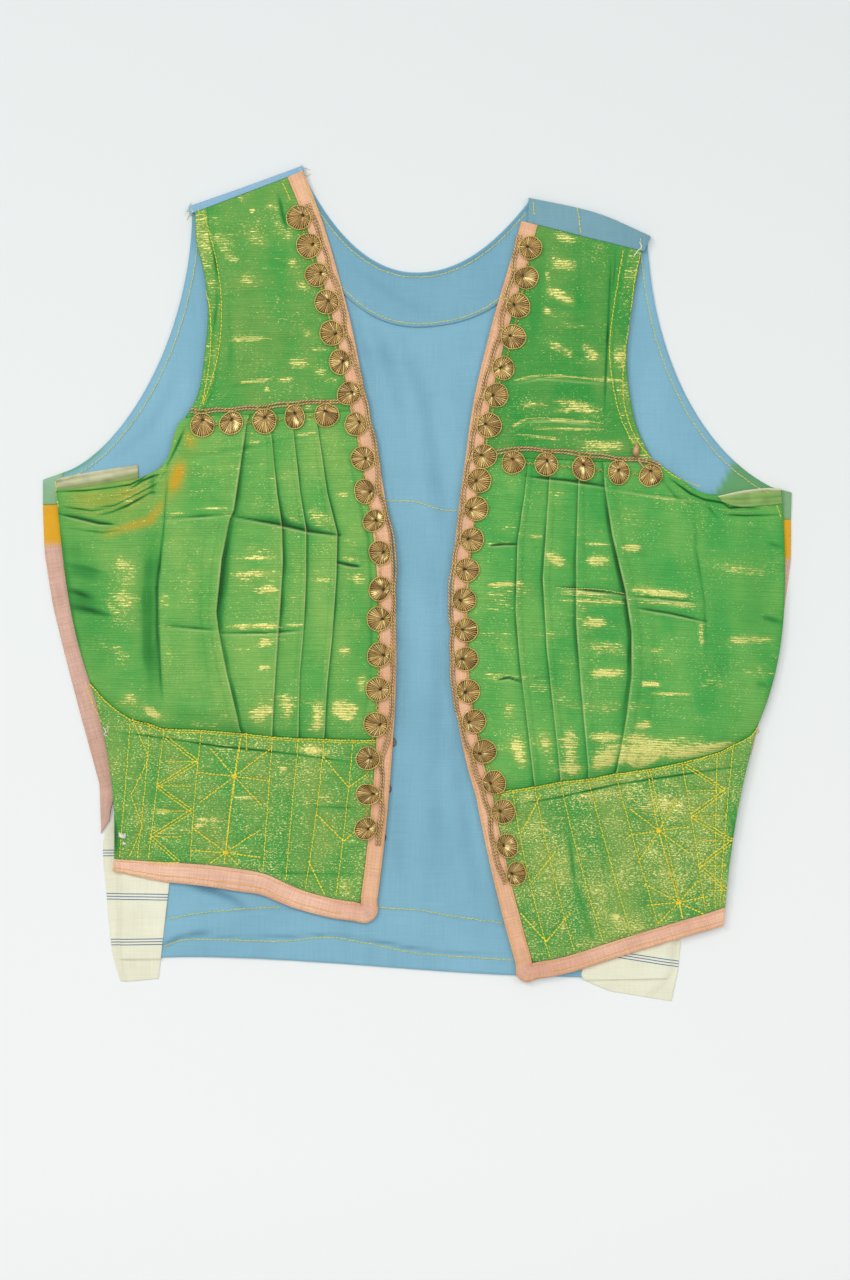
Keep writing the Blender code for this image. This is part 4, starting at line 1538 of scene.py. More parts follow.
@dataclass
class TailPiece:
    """A tail of striped lining cloth that shows below the fronts.

    Its stripes are given by the two ends of each one's middle line, in the photo's pixels.
    """

    side: Side
    table: tuple
    hem_row: float
    stripes: tuple
    rows: int = 150
    outer_columns: int = 9
    inner_columns: int = 20

    def build(self) -> Piece:
        """Makes the tail, which steps down off the back's edge to the table.

        Returns:
            The piece.
        """
        rows = across(self.table, self.rows)
        along = np.linspace(0, len(self.table) - 1, self.rows)
        outer, brink, inner = rows[:, :2], rows[:, 2:4], rows[:, 4:]
        shares = np.concatenate([np.linspace(0, 1, self.outer_columns),
                                 1 + np.linspace(0, 1, self.inner_columns)[1:]])
        plan = np.where(shares[:, None, None] < 1, between(outer, brink, shares),
                        between(brink, inner, shares - 1))
        x, y = plan[..., 0], plan[..., 1]
        inside = np.abs(x - brink[:, 0])
        on_back = (shares[:, None] > 1) * ease(inside, 0.0, 2.2) * ease(self.hem_row - along, 0, 0.08)
        under = ON_BACK * on_back
        wave = 0.5 * mottle(x * 1.4, y * 0.7, 13, 31) + 0.3 * mottle(x, y, 6, 32)
        lifted = 0.5 + 0.5 * on_back
        top = under + THIN_WALL - 0.2 + np.maximum(wave, -0.6) * lifted * 0.8 + 0.15
        stripe = np.full(x.shape, 99.0)
        for ends in self.stripes:
            (ax, ay), (bx, by) = seen(ends)
            offset = y - ay - (x - ax) * (by - ay) / (bx - ax)
            stripe = np.where(np.abs(offset) < np.abs(stripe), offset, stripe)
        stripe = np.where(np.abs(stripe) < 8, stripe, stripe * 100)
        shade = 0.1 * np.maximum(mottle(x, y, 9, 33), 0) + 0.16 * bell(inside - 1.0, 1.2)
        sheet = Sheet(f"{self.side.value}_tail_cloth", plan, np.maximum(top, under + 0.45), under,
                      {"shade": shade, "accent": stripe}, roll=0.25, rim=0.3)
        return sheet.build(Finish.CREAM)


@dataclass
class LiningStrip:
    """The lining's edge where it shows between the back and the front at an underarm."""

    side: Side
    high: tuple
    low: tuple
    finish: Finish
    accent: tuple
    over: float = 0.0
    rows: int = 60
    columns: int = 16

    def build(self) -> Piece:
        """Makes the strip, whose lower part may roll over the front's edge.

        Returns:
            The piece.
        """
        spots = np.linspace(0, 1, self.rows)
        shares = np.linspace(0, 1, self.columns)
        plan = between(*(through(seen(part), spots * (len(part) - 1))
                         for part in (self.high, self.low)), shares)
        x, y = plan[..., 0], plan[..., 1]
        share = np.broadcast_to(shares[:, None], x.shape)
        top = ON_BACK + THIN_WALL + self.over - 0.3 + 0.3 * mottle(x, y, 5, 41)
        top = top + 0.35 * bell(share - 0.35, 0.08)
        under = ON_BACK + self.over * ease(share, 0.2, 0.3)
        fade = np.abs(spots - (self.side is Side.LEFT))
        shade = 0.7 * bell(share - 0.16, 0.05) * fade + 0.4 * bell(share - 0.52, 0.05)
        shade = shade + 0.35 * bell(share - 0.82, 0.05)
        shade = shade + 0.3 * np.maximum(mottle(x, y * 2.5, 6, 43), 0)
        masks = {"shade": shade, "accent": np.interp(share, *zip(*self.accent))}
        sheet = Sheet(f"{self.side.value}_lining_edge", plan, top, under, masks, roll=0.3)
        return sheet.build(self.finish)


# The fronts


class Line(NamedTuple):
    """A line down a front, from the yoke or underarm over the waist seam to the hem."""

    top_x: float
    top_y: float
    upper_x: float
    lower_x: float
    waist_x: float
    waist_y: float
    mid_x: float
    hem_x: float
    hem_y: float
    lap: float
    dent: float


# Sections of each yoke: its place at the armhole and its place at the edging.
LEFT_YOKE = (
    (-137, 229.9, -80, 251.6), (-136, 212, -72, 232), (-131, 190, -64, 208),
    (-129, 167, -54, 172), (-131, 142, -48, 146), (-135, 118, -43, 120),
    (-143, 103, -41, 107),
)
RIGHT_YOKE = (
    (139, 206, 75, 222), (136, 188, 70, 203), (132, 165, 61, 173),
    (130, 140, 54, 147), (132, 116, 47, 118), (137, 95, 43, 95),
    (147, 74, 41, 79),
)
LEFT_LINES = (
    Line(-223, 58, -219, -213, -202, -61, -189.5, -187, -170, 0, 0),
    Line(-204, 60, -201, -197, -191, -73, -184.5, -185.6, -170.2, 0, 0),
    Line(-185, 63, -182, -179, -177, -83, -180, -184, -170.5, 0, 0),
    Line(-170, 66, -167, -167, -165, -86, -168, -173, -171, 0, 2.6),
    Line(-155, 76, -159, -160, -156, -89, -161, -166, -171.5, 0, 0),
    Line(-143, 103, -140, -139, -133, -90, -137, -140, -173, 0, 0),
    Line(-103, 104.6, -115, -122, -108, -92, -114, -119, -175, 2.4, 0),
    Line(-91, 105, -83, -85, -89, -94, -92, -95, -179, 1.8, 0),
    Line(-77, 105.6, -69, -69, -73, -95, -77, -81, -185, 1.5, 0),
    Line(-62, 106.2, -50, -51, -57, -95.5, -62, -69, -190, 1.8, 0),
    Line(-50, 106.6, -38, -36, -39, -96, -44, -50, -195, 0, 0),
    Line(-41, 107, -28, -23, -25, -96, -29, -35, -197, 0, 0),
)
RIGHT_LINES = (
    Line(226, 58, 228, 225, 211, -88, 198, 191, -200, 0, 0),
    Line(208, 56, 215, 217, 206, -94, 195.4, 189.4, -200.6, 0, 0),
    Line(191, 55, 201, 204, 196, -99, 191, 187.6, -201.2, 0, 0),
    Line(176, 57, 186, 191, 186, -104, 185, 184.6, -202.2, 0, 0.8),
    Line(162, 66, 170, 176, 164, -110, 172, 179, -204, 0, 0),
    Line(147, 74, 151, 156, 144, -114, 155, 165, -208, 0, 0),
    Line(115, 75.5, 126, 132, 123, -117, 136, 150, -212.5, 2.4, 0),
    Line(101, 76.2, 98, 101, 106, -120, 119, 133, -217.6, 1.6, 0),
    Line(83, 77, 78, 82, 89, -122, 101, 116, -223, 1.5, 0),
    Line(69, 77.7, 61, 64, 73, -125, 84, 98, -228.8, 1.5, 0),
    Line(55, 78.3, 47, 49, 59, -127, 69, 83, -232.6, 0, 0),
    Line(41, 79, 33, 33, 47, -129, 58, 72, -234, 0, 0),
)
YOKE_FIRST_LINE = 5
# The folds' edges in the photo's pixels, by the line that each belongs to.
LEFT_FOLDS = {
    6: ((249, 414), (235, 511), (231, 520), (223, 560), (218, 612), (220, 629), (228, 671),
        (239, 718), (242, 733)),
    7: ((270, 414), (278, 494), (283, 525), (284, 565), (281, 612), (277, 671), (273, 735)),
    8: ((292, 413), (301, 494), (307, 530), (307, 577), (305, 624), (301, 671), (299, 737)),
    9: ((316, 412), (328, 494), (338, 534), (337, 577), (333, 636), (328, 683), (325, 738)),
}
RIGHT_FOLDS = {
    6: ((602, 462), (604, 488), (611, 535), (624, 591), (630, 632), (630, 675), (625, 716),
        (615, 773)),
    7: ((579, 461), (577, 500), (575, 563), (575, 624), (580, 690), (588, 777)),
    8: ((550, 460), (546, 522), (542, 578), (546, 650), (560, 781)),
    9: ((528, 459), (524, 496), (517, 542), (515, 611), (519, 662), (534, 786)),
}
# How high a front stands off the back along its middle, by station: 0 is the shoulder, 1 the
# yoke's seam, 2 the waist seam and 3 the hem.
RISES = (
    (0, 0), (0.5, 2), (1, 0), (1.18, 1.6), (1.42, 4), (1.66, 6), (1.87, 6.6), (1.94, 5.4),
    (1.98, 3.2), (2, 1.2), (2.02, 0.8), (2.06, 0.6), (2.5, 1.5), (3, 0),
)
LAP_HOLD = ((0, 0.35), (0.18, 1), (0.87, 1), (0.96, 0.9), (1, 0.5))
LEFT_HEM_WIDTHS = ((0, 12), (0.2, 12), (0.5, 14), (0.8, 12.5), (1, 7.5))
RIGHT_HEM_WIDTHS = ((0, 10.5), (0.5, 10.5), (1, 10.5))


def lift(share: Array, station: Array) -> Array:
    """How far a front stands off the back.

    Args:
        share: Shares of its width.
        station: Stations of its length: 1 at the yoke's foot, 2 at the waist, 3 at the hem.

    Returns:
        The height there.
    """
    stations = np.linspace(0, 3, 1201)
    rises = np.interp(stations, *zip(*RISES))
    kernel = bell(np.linspace(-2, 2, 25), 1.0)
    rises = np.convolve(np.pad(rises, 12, mode="edge"), kernel / kernel.sum(), mode="valid")
    height = np.interp(station, stations, rises)
    return height * np.sin(np.pi * np.clip(share, 0, 1)) ** 0.75


# A fold's edge: how far a point lies past it, how much of the lap's height it has, how bright its
# painted highlight is there and how dark its painted shadow is. Past the edge the cloth turns back
# under itself.
FOLD_EDGE = (
    (-3.0, 0.97, 0.0, 0.0), (-1.5, 1.0, 0.0, 0.0), (-0.85, 1.0, 0.05, 0.0),
    (-0.4, 0.96, 0.8, 0.0), (0.0, 0.74, 0.5, 0.3), (-0.1, 0.5, 0.0, 0.9),
    (-0.45, 0.26, 0.0, 1.0), (-0.5, 0.08, 0.0, 1.0), (0.1, 0.0, 0.0, 1.0),
    (0.8, 0.0, 0.0, 0.8), (1.6, 0.0, 0.0, 0.42), (2.8, 0.0, 0.0, 0.18), (4.8, 0.0, 0.0, 0.04),
)
FOLD_STEP = 14.0
FOLD_OPENS = 5.6
FOLD_CLOSES = 3.2
BINDING = 10.5
# The edging's two lines of points that are sewn, and where along the waist its second row starts.
EDGE_STITCH_COLUMNS = (2, 8)
SECOND_WAIST_ROW = 27


@dataclass
class Front:
    """One front: its yoke, its pleated front, its band and the edging round them."""

    side: Side
    yoke_table: tuple
    lines: tuple
    folds: dict
    hem_widths: tuple
    creases: tuple
    yoke_creases: tuple
    band_creases: tuple
    seed: int
    lean: float = 0.0
    bulge: float = 0.2
    per_line: int = 13
    bust_rows: int = 380
    band_rows: int = 120
    seam_rows: int = 34
    yoke_rows: int = 170
    channel_rows: int = 9
    step: float = 1.6
    corner_steps: int = 14
    shape: dict[str, Array] = field(default_factory=dict)

    def _columns(self) -> Array:
        """Lays out the columns of the bust, closer together at the folds.

        Returns:
            Each column's place in lines, its share of the lap, its painted highlight and its painted
            shade.
        """
        columns = []
        last = len(self.lines) - 1
        for index in range(last):
            opens, closes = (line.lap > 0 for line in self.lines[index:index + 2])
            for share in np.arange(self.per_line) / self.per_line:
                if opens and share * FOLD_STEP < FOLD_OPENS:
                    continue
                if closes and (1 - share) * FOLD_STEP < FOLD_CLOSES:
                    continue
                ramp = (share - 0.09) / 0.91 if opens else share
                columns.append((index + share, max(ramp, 0) * closes, 0, 0))
            if closes:
                columns += [(index + 1 + past / FOLD_STEP, *values) for past, *values in FOLD_EDGE]
        columns.append((last, 0, 0, 0))
        return np.array(columns)

    def _upper(self, rows: Array) -> Array:
        """Runs each line from its top to the waist seam.

        Args:
            rows: Shares of that way.

        Returns:
            Each line's points.
        """
        grid = []
        for index, line in enumerate(self.lines):
            heights = line.top_y + (line.waist_y - line.top_y) * rows
            places = (line.top_x, line.upper_x, line.lower_x, line.waist_x)
            x = np.polyval(np.polyfit((0, 1 / 3, 2 / 3, 1), places, 3), rows)
            if index in self.folds:
                fold = seen(self.folds[index])[::-1]
                path = smoothed(np.interp(heights, fold[:, 1], fold[:, 0]), 1)
                x = x + (path - x) * (ease(rows, 0, 0.04) * ease(1 - rows, 0, 0.04))
            grid.append(np.stack([x, heights], axis=1))
        return np.array(grid)

    def _lower(self, rows: Array) -> Array:
        """Runs each line from the waist seam to the hem.

        Args:
            rows: Shares of that way.

        Returns:
            Each line's points.
        """
        grid = []
        for line in self.lines:
            places = (line.waist_x, line.mid_x, line.hem_x)
            x = np.polyval(np.polyfit((0, 0.5, 1), places, 2), rows)
            grid.append(np.stack([x, line.waist_y + (line.hem_y - line.waist_y) * rows], axis=1))
        return np.array(grid)

    def _lame(self, name: str, kind: str, plan: Array, base: Array, top: Array,
              masks: dict[str, Array]) -> Piece:
        """Makes one of the front's sheets of lame.

        Args:
            name: Its name after the side's.
            kind: The name of its finish after the side's.
            plan: Its grid in plan.
            base: How high its underside lies.
            top: How high its face lies.
            masks: Its masks.

        Returns:
            The piece.
        """
        for key in ("shade", "stain"):
            masks[key] = np.clip(masks[key], 0, 1)
        sheet = Sheet(f"{self.side.value}_{name}", plan, np.maximum(top, base + 0.5), base, masks)
        return sheet.build(Finish[f"{self.side.name}_{kind}"])

    def bust(self) -> Piece:
        """Makes the pleated front: each pleat laps over the next, towards the middle.

        Returns:
            The piece.
        """
        rows = np.linspace(0, 1, self.bust_rows)
        places, level, highlight_tint, dim = self._columns().T
        plan = through(self._upper(rows), places)
        x, y = plan[..., 0], plan[..., 1]
        laps = np.array([line.lap for line in self.lines])
        last = len(laps) - 1
        near = laps[np.clip(np.rint(places).astype(int), 0, last)]
        lap = laps[np.clip(np.ceil(places - 0.4).astype(int), 0, last)]
        lap = np.where(highlight_tint + dim > 0, near, lap)
        dents = np.interp(places, np.arange(last + 1), [line.dent for line in self.lines])
        share = (places / last)[:, None]
        middle = np.sin(np.pi * rows)
        base = lift(share, 1 + rows) - dents[:, None] * middle
        base = FRONT_BASE + np.maximum(base, 0)
        rise, marks = relief(plan, self.creases)
        folded = (lap * level)[:, None] * np.interp(rows, *zip(*LAP_HOLD))
        gathers = 0.35 * mottle(x * 1.1, y * 0.25, 5, self.seed)
        gathers = gathers * (bell(1 - rows, 0.09) + bell(rows, 0.05))
        soft = 0.45 * mottle(x, y, 26, self.seed + 1) + 0.14 * mottle(x * 0.6, y, 7, self.seed + 2)
        inner = np.sin(np.pi * np.clip(share, 0, 1)) ** 0.4
        top = base + LAME_WALL + folded + rise + (soft + gathers) * inner
        top = top - 0.25 * np.maximum(bell(rows, 0.012), bell(1 - rows, 0.014))
        # Painted highlight along each fold's crest.
        wear = highlight_tint[:, None] * (0.6 + 0.4 * mottle(x, y, 9, self.seed + 3))
        wear = wear * ease(rows, 0.02, 0.1) * (near > 0)[:, None] + marks["wear"]
        # Painted shadow past each fold's edge, on the pleat that it laps over.
        dark = dim[:, None] * (0.75 + 0.25 * mottle(x, y, 14, self.seed + 4))
        dark = dark * (lap / 2.4)[:, None] ** 0.4
        dark = dark * np.interp(rows, (0, 0.12, 0.3, 0.6, 0.72, 1), (0.5, 0.7, 1, 1, 0.6, 0.6))
        shade = np.clip(dark + marks["shade"], 0, 1) + 0.35 * bell(1 - rows, 0.02)
        shade = shade + 0.3 * bell(share, 0.012) + 0.22 * (dents / 2.6)[:, None] * middle
        shine = np.clip(marks["shine"] + 0.12 * bell(share - 0.62, 0.25), 0, 2)
        marks.update(shade=shade, shine=shine, wear=np.clip(wear, 0, 1))
        self.shape.update(bust=plan[-1], waist=plan[:, -1])
        return self._lame("pleated_front", "LAME", plan, base, top, marks)

    def band(self) -> Piece:
        """Makes the lower front, puffed between the lines of its quilting.

        Returns:
            The piece.
        """
        rows = np.linspace(0, 1, self.band_rows)
        halves = (rows[:-1] + rows[1:]) / 2
        rows = np.sort(np.concatenate([rows, halves[:self.seam_rows]]))
        last = len(self.lines) - 1
        places = np.linspace(0, last, self.per_line * last + 1)
        share = (places / last)[:, None]
        plan = through(self._lower(rows), places)
        x, y = plan[..., 0], plan[..., 1]
        base = FRONT_BASE + lift(share, 2 + rows)
        rise, marks = relief(plan, self.band_creases)
        sewn = np.full(x.shape, 1e9)
        for row in self.quilting():
            sewn = np.minimum(sewn, off_line(x, y, curved(seen(row.line), 4.0))[0])
        puff = 0.95 * ease(sewn, 0.2, 4.5) + 0.12 * mottle(x, y, 5, self.seed + 8)
        puff = puff + 0.4 * mottle(x, y * 0.6, 18, self.seed + 9)
        ends = np.minimum(ease(rows, 0.0, 0.04), ease(1 - rows, 0.0, 0.03))
        top = base + LAME_WALL + puff * ends + rise
        shade = np.clip(0.32 * bell(sewn, 0.9) + marks["shade"], 0, 1)
        shade = shade + 0.5 * bell(rows, 0.02) + 0.3 * bell(share, 0.012)
        shine = 0.3 * ease(mottle(x * 0.8, y, 15, self.seed + 10), 0.1, 0.8) + marks["shine"]
        marks.update(shade=shade, shine=shine)
        self.shape.update(band=plan[-1], hem=plan[::-1, -1])
        return self._lame("quilted_band", "BAND", plan, base, top, marks)

    def yoke(self) -> Piece:
        """Makes the upper front, with the band that is stitched down along its armhole.

        Returns:
            The piece.
        """
        rows = np.linspace(0, 1, self.yoke_rows)
        table = through(self.yoke_table, rows * (len(self.yoke_table) - 1))
        tops = np.array([line[:2] for line in self.lines[YOKE_FIRST_LINE:]], float)
        shares = np.sort(np.concatenate([np.linspace(0, 1, 112), (0.077, 0.086)]))
        places = np.interp(shares, lengths(tops) / lengths(tops)[-1], np.arange(len(tops)))
        plan = between(table[:, :2], table[:, 2:], shares)
        down = (through(tops, places) - plan[:, -1])[:, None]
        plan = plan + down * ease(rows, 0.85, 1.0)[:, None]
        x, y = plan[..., 0], plan[..., 1]
        arm = np.linalg.norm(plan - plan[:1], axis=2)
        base = FRONT_BASE + lift(shares[:, None], rows)
        rise, marks = relief(plan, self.yoke_creases)
        band = ease(8.0 - arm, -0.5, 0.5)
        soft = 0.4 * mottle(x, y, 20, self.seed + 12) + 0.2 * mottle(x, y * 1.6, 8, self.seed + 13)
        pucker = 0.18 * mottle(x * 0.6, y * 1.4, 3.5, self.seed + 14) * band
        inner = np.sin(np.pi * shares)[:, None] ** 0.4 * np.sin(np.pi * rows) ** 0.4
        top = base + LAME_WALL + 0.5 * band + pucker + soft * inner + rise
        shade = marks["shade"] + 0.35 * bell(arm - 8.5, 0.8) + 0.3 * bell(arm, 0.8)
        shine = np.clip(marks["shine"] + 0.05 + 0.4 * band, 0, 2)
        marks.update(shade=shade + 0.35 * bell(1 - rows, 0.02), shine=shine)
        self.shape["yoke"] = plan[-1]
        return self._lame("upper_front", "YOKE", plan, base, top, marks)

    def edging(self) -> Piece:
        """Makes the pink binding down the front edge, round the corner and along the hem.

        Returns:
            The piece.
        """
        edge = np.concatenate([self.shape["yoke"], self.shape["bust"][1:], self.shape["band"][1:]])
        edge, hem = (smoothed(evenly(line, self.step), 3) for line in (edge, self.shape["hem"]))
        down, low = (outward(line, self.side.hand) for line in (edge, hem))
        widths = np.interp(np.linspace(0, 1, len(hem)), *zip(*self.hem_widths))
        turns = np.linspace(0, 1, self.corner_steps)[1:-1]
        fan = down[-4] * (1 - turns[:, None]) + low[3] * turns[:, None]
        fan = fan / np.linalg.norm(fan, axis=1)[:, None]
        reach = BINDING + (widths[0] - BINDING) * turns
        reach = reach * (1 + self.bulge * np.sin(np.pi * turns))
        starts = np.concatenate([edge[:-2], edge[-1] + fan * 0.5, hem[2:]])
        outs = np.concatenate([down[:-2], fan, low[2:]])
        first = len(edge) - 2
        sizes = np.concatenate([np.full(first, BINDING), reach - 0.5, widths[2:]])
        shares = np.array([0, 0.06, 0.14, 0.26, 0.4, 0.54, 0.68, 0.8, 0.89, 0.95, 0.985, 1])
        along = np.diff(hem[-2:], axis=0)
        along = along / np.linalg.norm(along, axis=1)
        outs[-9:] -= along * self.lean * np.linspace(0, 1, 9)[:, None] ** 2
        plan = starts + outs * (sizes * shares[:, None])[..., None]
        x, y = plan[..., 0], plan[..., 1]
        share = np.broadcast_to(shares[:, None], x.shape)
        sewn = 0.22 * (bell(share - 0.14, 0.04) + bell(share - 0.86, 0.04))
        crown = 0.3 * np.sin(np.pi * share) ** 0.6 - 0.15
        top = EDGING_TOP + crown - sewn + 0.16 * mottle(x, y, 4, self.seed + 20)
        top = top - 0.55 * ease(share, 0.93, 1.0)
        hemmed = np.zeros(x.shape)
        hemmed[:, first:] = 1.0
        shade = 0.3 * bell(share - 0.02, 0.035) + 0.22 * bell(share - 0.97, 0.03)
        shade = shade + 0.16 * np.maximum(mottle(x, y, 6, self.seed + 21), 0)
        shade[:, first - 1: first + self.corner_steps - 1] += 0.12
        self.shape.update(edging=plan, hem_stitches=plan[6, first + self.corner_steps + 2:])
        sheet = Sheet(f"{self.side.value}_binding", plan, top, np.full(top.shape, FRONT_BASE),
                      {"shade": np.clip(shade, 0, 1)}, roll=0.45, along=True)
        return sheet.build(Finish.PINK, Finish.HEM_PINK, second=hemmed)

    def quilting(self) -> list[StitchRow]:
        """Gathers every row that presses the band down: its channels and its stitched motifs.

        Returns:
            The rows.
        """
        grid = self._lower(np.linspace(0.01, 0.985, self.channel_rows))[2:-1]
        lines = grid / (PHOTO_SCALE, -PHOTO_SCALE) + PHOTO_MIDDLE
        return [StitchRow(line, 2.3, 0.78) for line in lines] + motif_rows(self.side)


# Stitched motifs


class Star(NamedTuple):
    """Stitched rays round a place in the photo's pixels, each an angle and a reach."""

    x: float
    y: float
    rays: tuple


class Zigzag(NamedTuple):
    """A zigzag between two lines in the photo's pixels, doubled and with bars, or plain."""

    first: tuple
    second: tuple
    teeth: int
    bars: bool


# The far ends of the stems through the stars, and the yoke's short rows beside the binding.
EXTRA_ROWS = {
    Side.LEFT: (
        ((283, 184), (291, 202)), ((56, 481), (57, 494), (59, 508)),
        ((86, 682), (93, 703), (103, 722)),
        ((204, 214), (211, 238), (217, 262), (221, 290), (222, 315), (220, 345), (213, 378),
         (203, 406)),
        ((206, 290), (210.5, 310), (211.5, 340), (209, 370), (203, 404)),
    ),
    Side.RIGHT: (
        ((776, 505), (778, 511), (780, 518)),
        ((622.5, 251), (618, 279), (612, 316), (609, 351), (611, 375), (615, 399), (622, 423),
         (632, 442), (637, 448)),
        ((640, 253), (634, 283), (628, 329), (623.5, 357), (622.5, 394), (627, 418), (636, 440),
         (650, 458), (675, 477), (700, 487)),
    ),
}
# Painted highlights: thin bright gold lines where a fold's crest catches the light.
CREST_GLINT_LINES = {
    Side.LEFT: (
        ((241, 384), (262, 382), (275, 377)), ((229, 342), (250, 339), (273, 340)),
        ((258, 593), (280, 591)), ((227, 627), (258, 626), (284, 628)),
    ),
    Side.RIGHT: (
        ((516, 381), (528, 377), (541, 376), (572, 378), (604, 382)),
        ((513, 428), (519, 422), (530, 419), (555, 419), (603, 424)),
        ((536, 430), (570, 429), (604, 430)), ((516, 435), (535, 436), (556, 438)),
        ((520, 405), (548, 406)), ((552, 402), (580, 404), (602, 411)),
        ((649, 693), (690, 694)), ((555, 588), (600, 590), (624, 594)),
        ((560, 594), (600, 598), (624, 604)), ((487, 586), (516, 585)),
    ),
}
STEMS = {
    Side.LEFT: (((241, 738), (235, 776), (226, 852), (225, 864)), ((247, 732), (247, 751))),
    Side.RIGHT: (((647, 771), (658, 830), (678, 902), (682, 918)),),
}
STARS = {
    Side.LEFT: (
        Star(235, 776, ((131, 37), (37, 48), (-8, 36), (-47, 40), (217, 43), (174, 37))),
        Star(226, 852, ((143, 42), (33, 40), (-8, 36), (-45, 18), (215, 19), (177, 35))),
        Star(349, 787, ((130, 40), (36, 22))), Star(344, 841, ((135, 39), (42, 15))),
        Star(325, 894, ((116, 38),)),
    ),
    Side.RIGHT: (
        Star(658, 830, ((143, 37), (60, 37), (7, 31), (-37, 38), (237, 39), (190, 31))),
        Star(678, 902, ((151, 39), (48, 30), (12, 30), (-25, 28), (226, 30), (185, 32))),
        Star(521, 833, ((63, 44),)), Star(531, 882, ((52, 40),)),
        Star(546, 941, ((132, 39), (50, 38))),
    ),
}
ZIGZAGS = {
    Side.LEFT: (
        Zigzag(((133, 718), (132, 795), (130, 856)), ((150, 718), (148, 795), (138, 856)), 4, False),
        Zigzag(((166, 737), (156, 798), (148, 862)), ((200, 737), (195, 798), (180, 862)), 5, True),
    ),
    Side.RIGHT: (
        Zigzag(((685, 765), (692, 828), (704, 890)), ((718, 765), (732, 828), (726, 890)), 5, True),
    ),
}


def motif_rows(side: Side) -> list[StitchRow]:
    """Gathers the motif rows of one band: stems, rays, slants and bars.

    Args:
        side: Which band.

    Returns:
        The rows.
    """
    rows = [StitchRow(stem, 2.2, 1.1) for stem in STEMS[side]]
    for x, y, rays in STARS[side]:
        for angle, reach in rays:
            turn = math.radians(angle)
            end = (x + reach * math.cos(turn), y - reach * math.sin(turn))
            rows.append(StitchRow(((x, y), end), 2.2, 1.1))
    for zigzag in ZIGZAGS[side]:
        spots = np.linspace(0, 2, zigzag.teeth + 1)
        lines = [through(line, spots) for line in (zigzag.first, zigzag.second)]
        for step in range(zigzag.teeth):
            start, end = lines[step % 2][step], lines[1 - step % 2][step + 1]
            rows.append(StitchRow((start, end), 2.2, 0.85, 1 + zigzag.bars, 1.7))
            if zigzag.bars:
                bar = end + (lines[step % 2][step + 1] - end) * 0.9
                rows.append(StitchRow((end, bar), 2.2, 0.8))
    return rows


# Rosettes and cords

# Rosette centres in the photo's pixels.
LEFT_EDGE_ROSETTES = (
    (299, 219), (309, 247), (317, 276), (327, 303), (332, 334), (340, 363), (349, 394),
    (356, 425), (363, 459), (365, 492), (374, 521), (380, 553), (380, 589), (379, 619),
    (379, 655), (378, 689), (376, 724), (368, 758), (368, 794), (366, 828),
)
RIGHT_EDGE_ROSETTES = (
    (530, 249), (526, 279), (518, 307), (513, 338), (503, 369), (496, 396), (489, 426),
    (484, 457), (479, 481), (476, 509), (472, 540), (467, 570), (464, 600), (466, 630),
    (466, 659), (468, 691), (474, 721), (484, 751), (494, 782), (503, 811), (507, 845),
    (516, 873),
)
LEFT_ROW_ROSETTES = ((203, 426), (232, 424), (265, 422), (295, 418), (327, 416))
RIGHT_ROW_ROSETTES = ((513, 463), (546, 465), (583, 469), (618, 473), (650, 476))


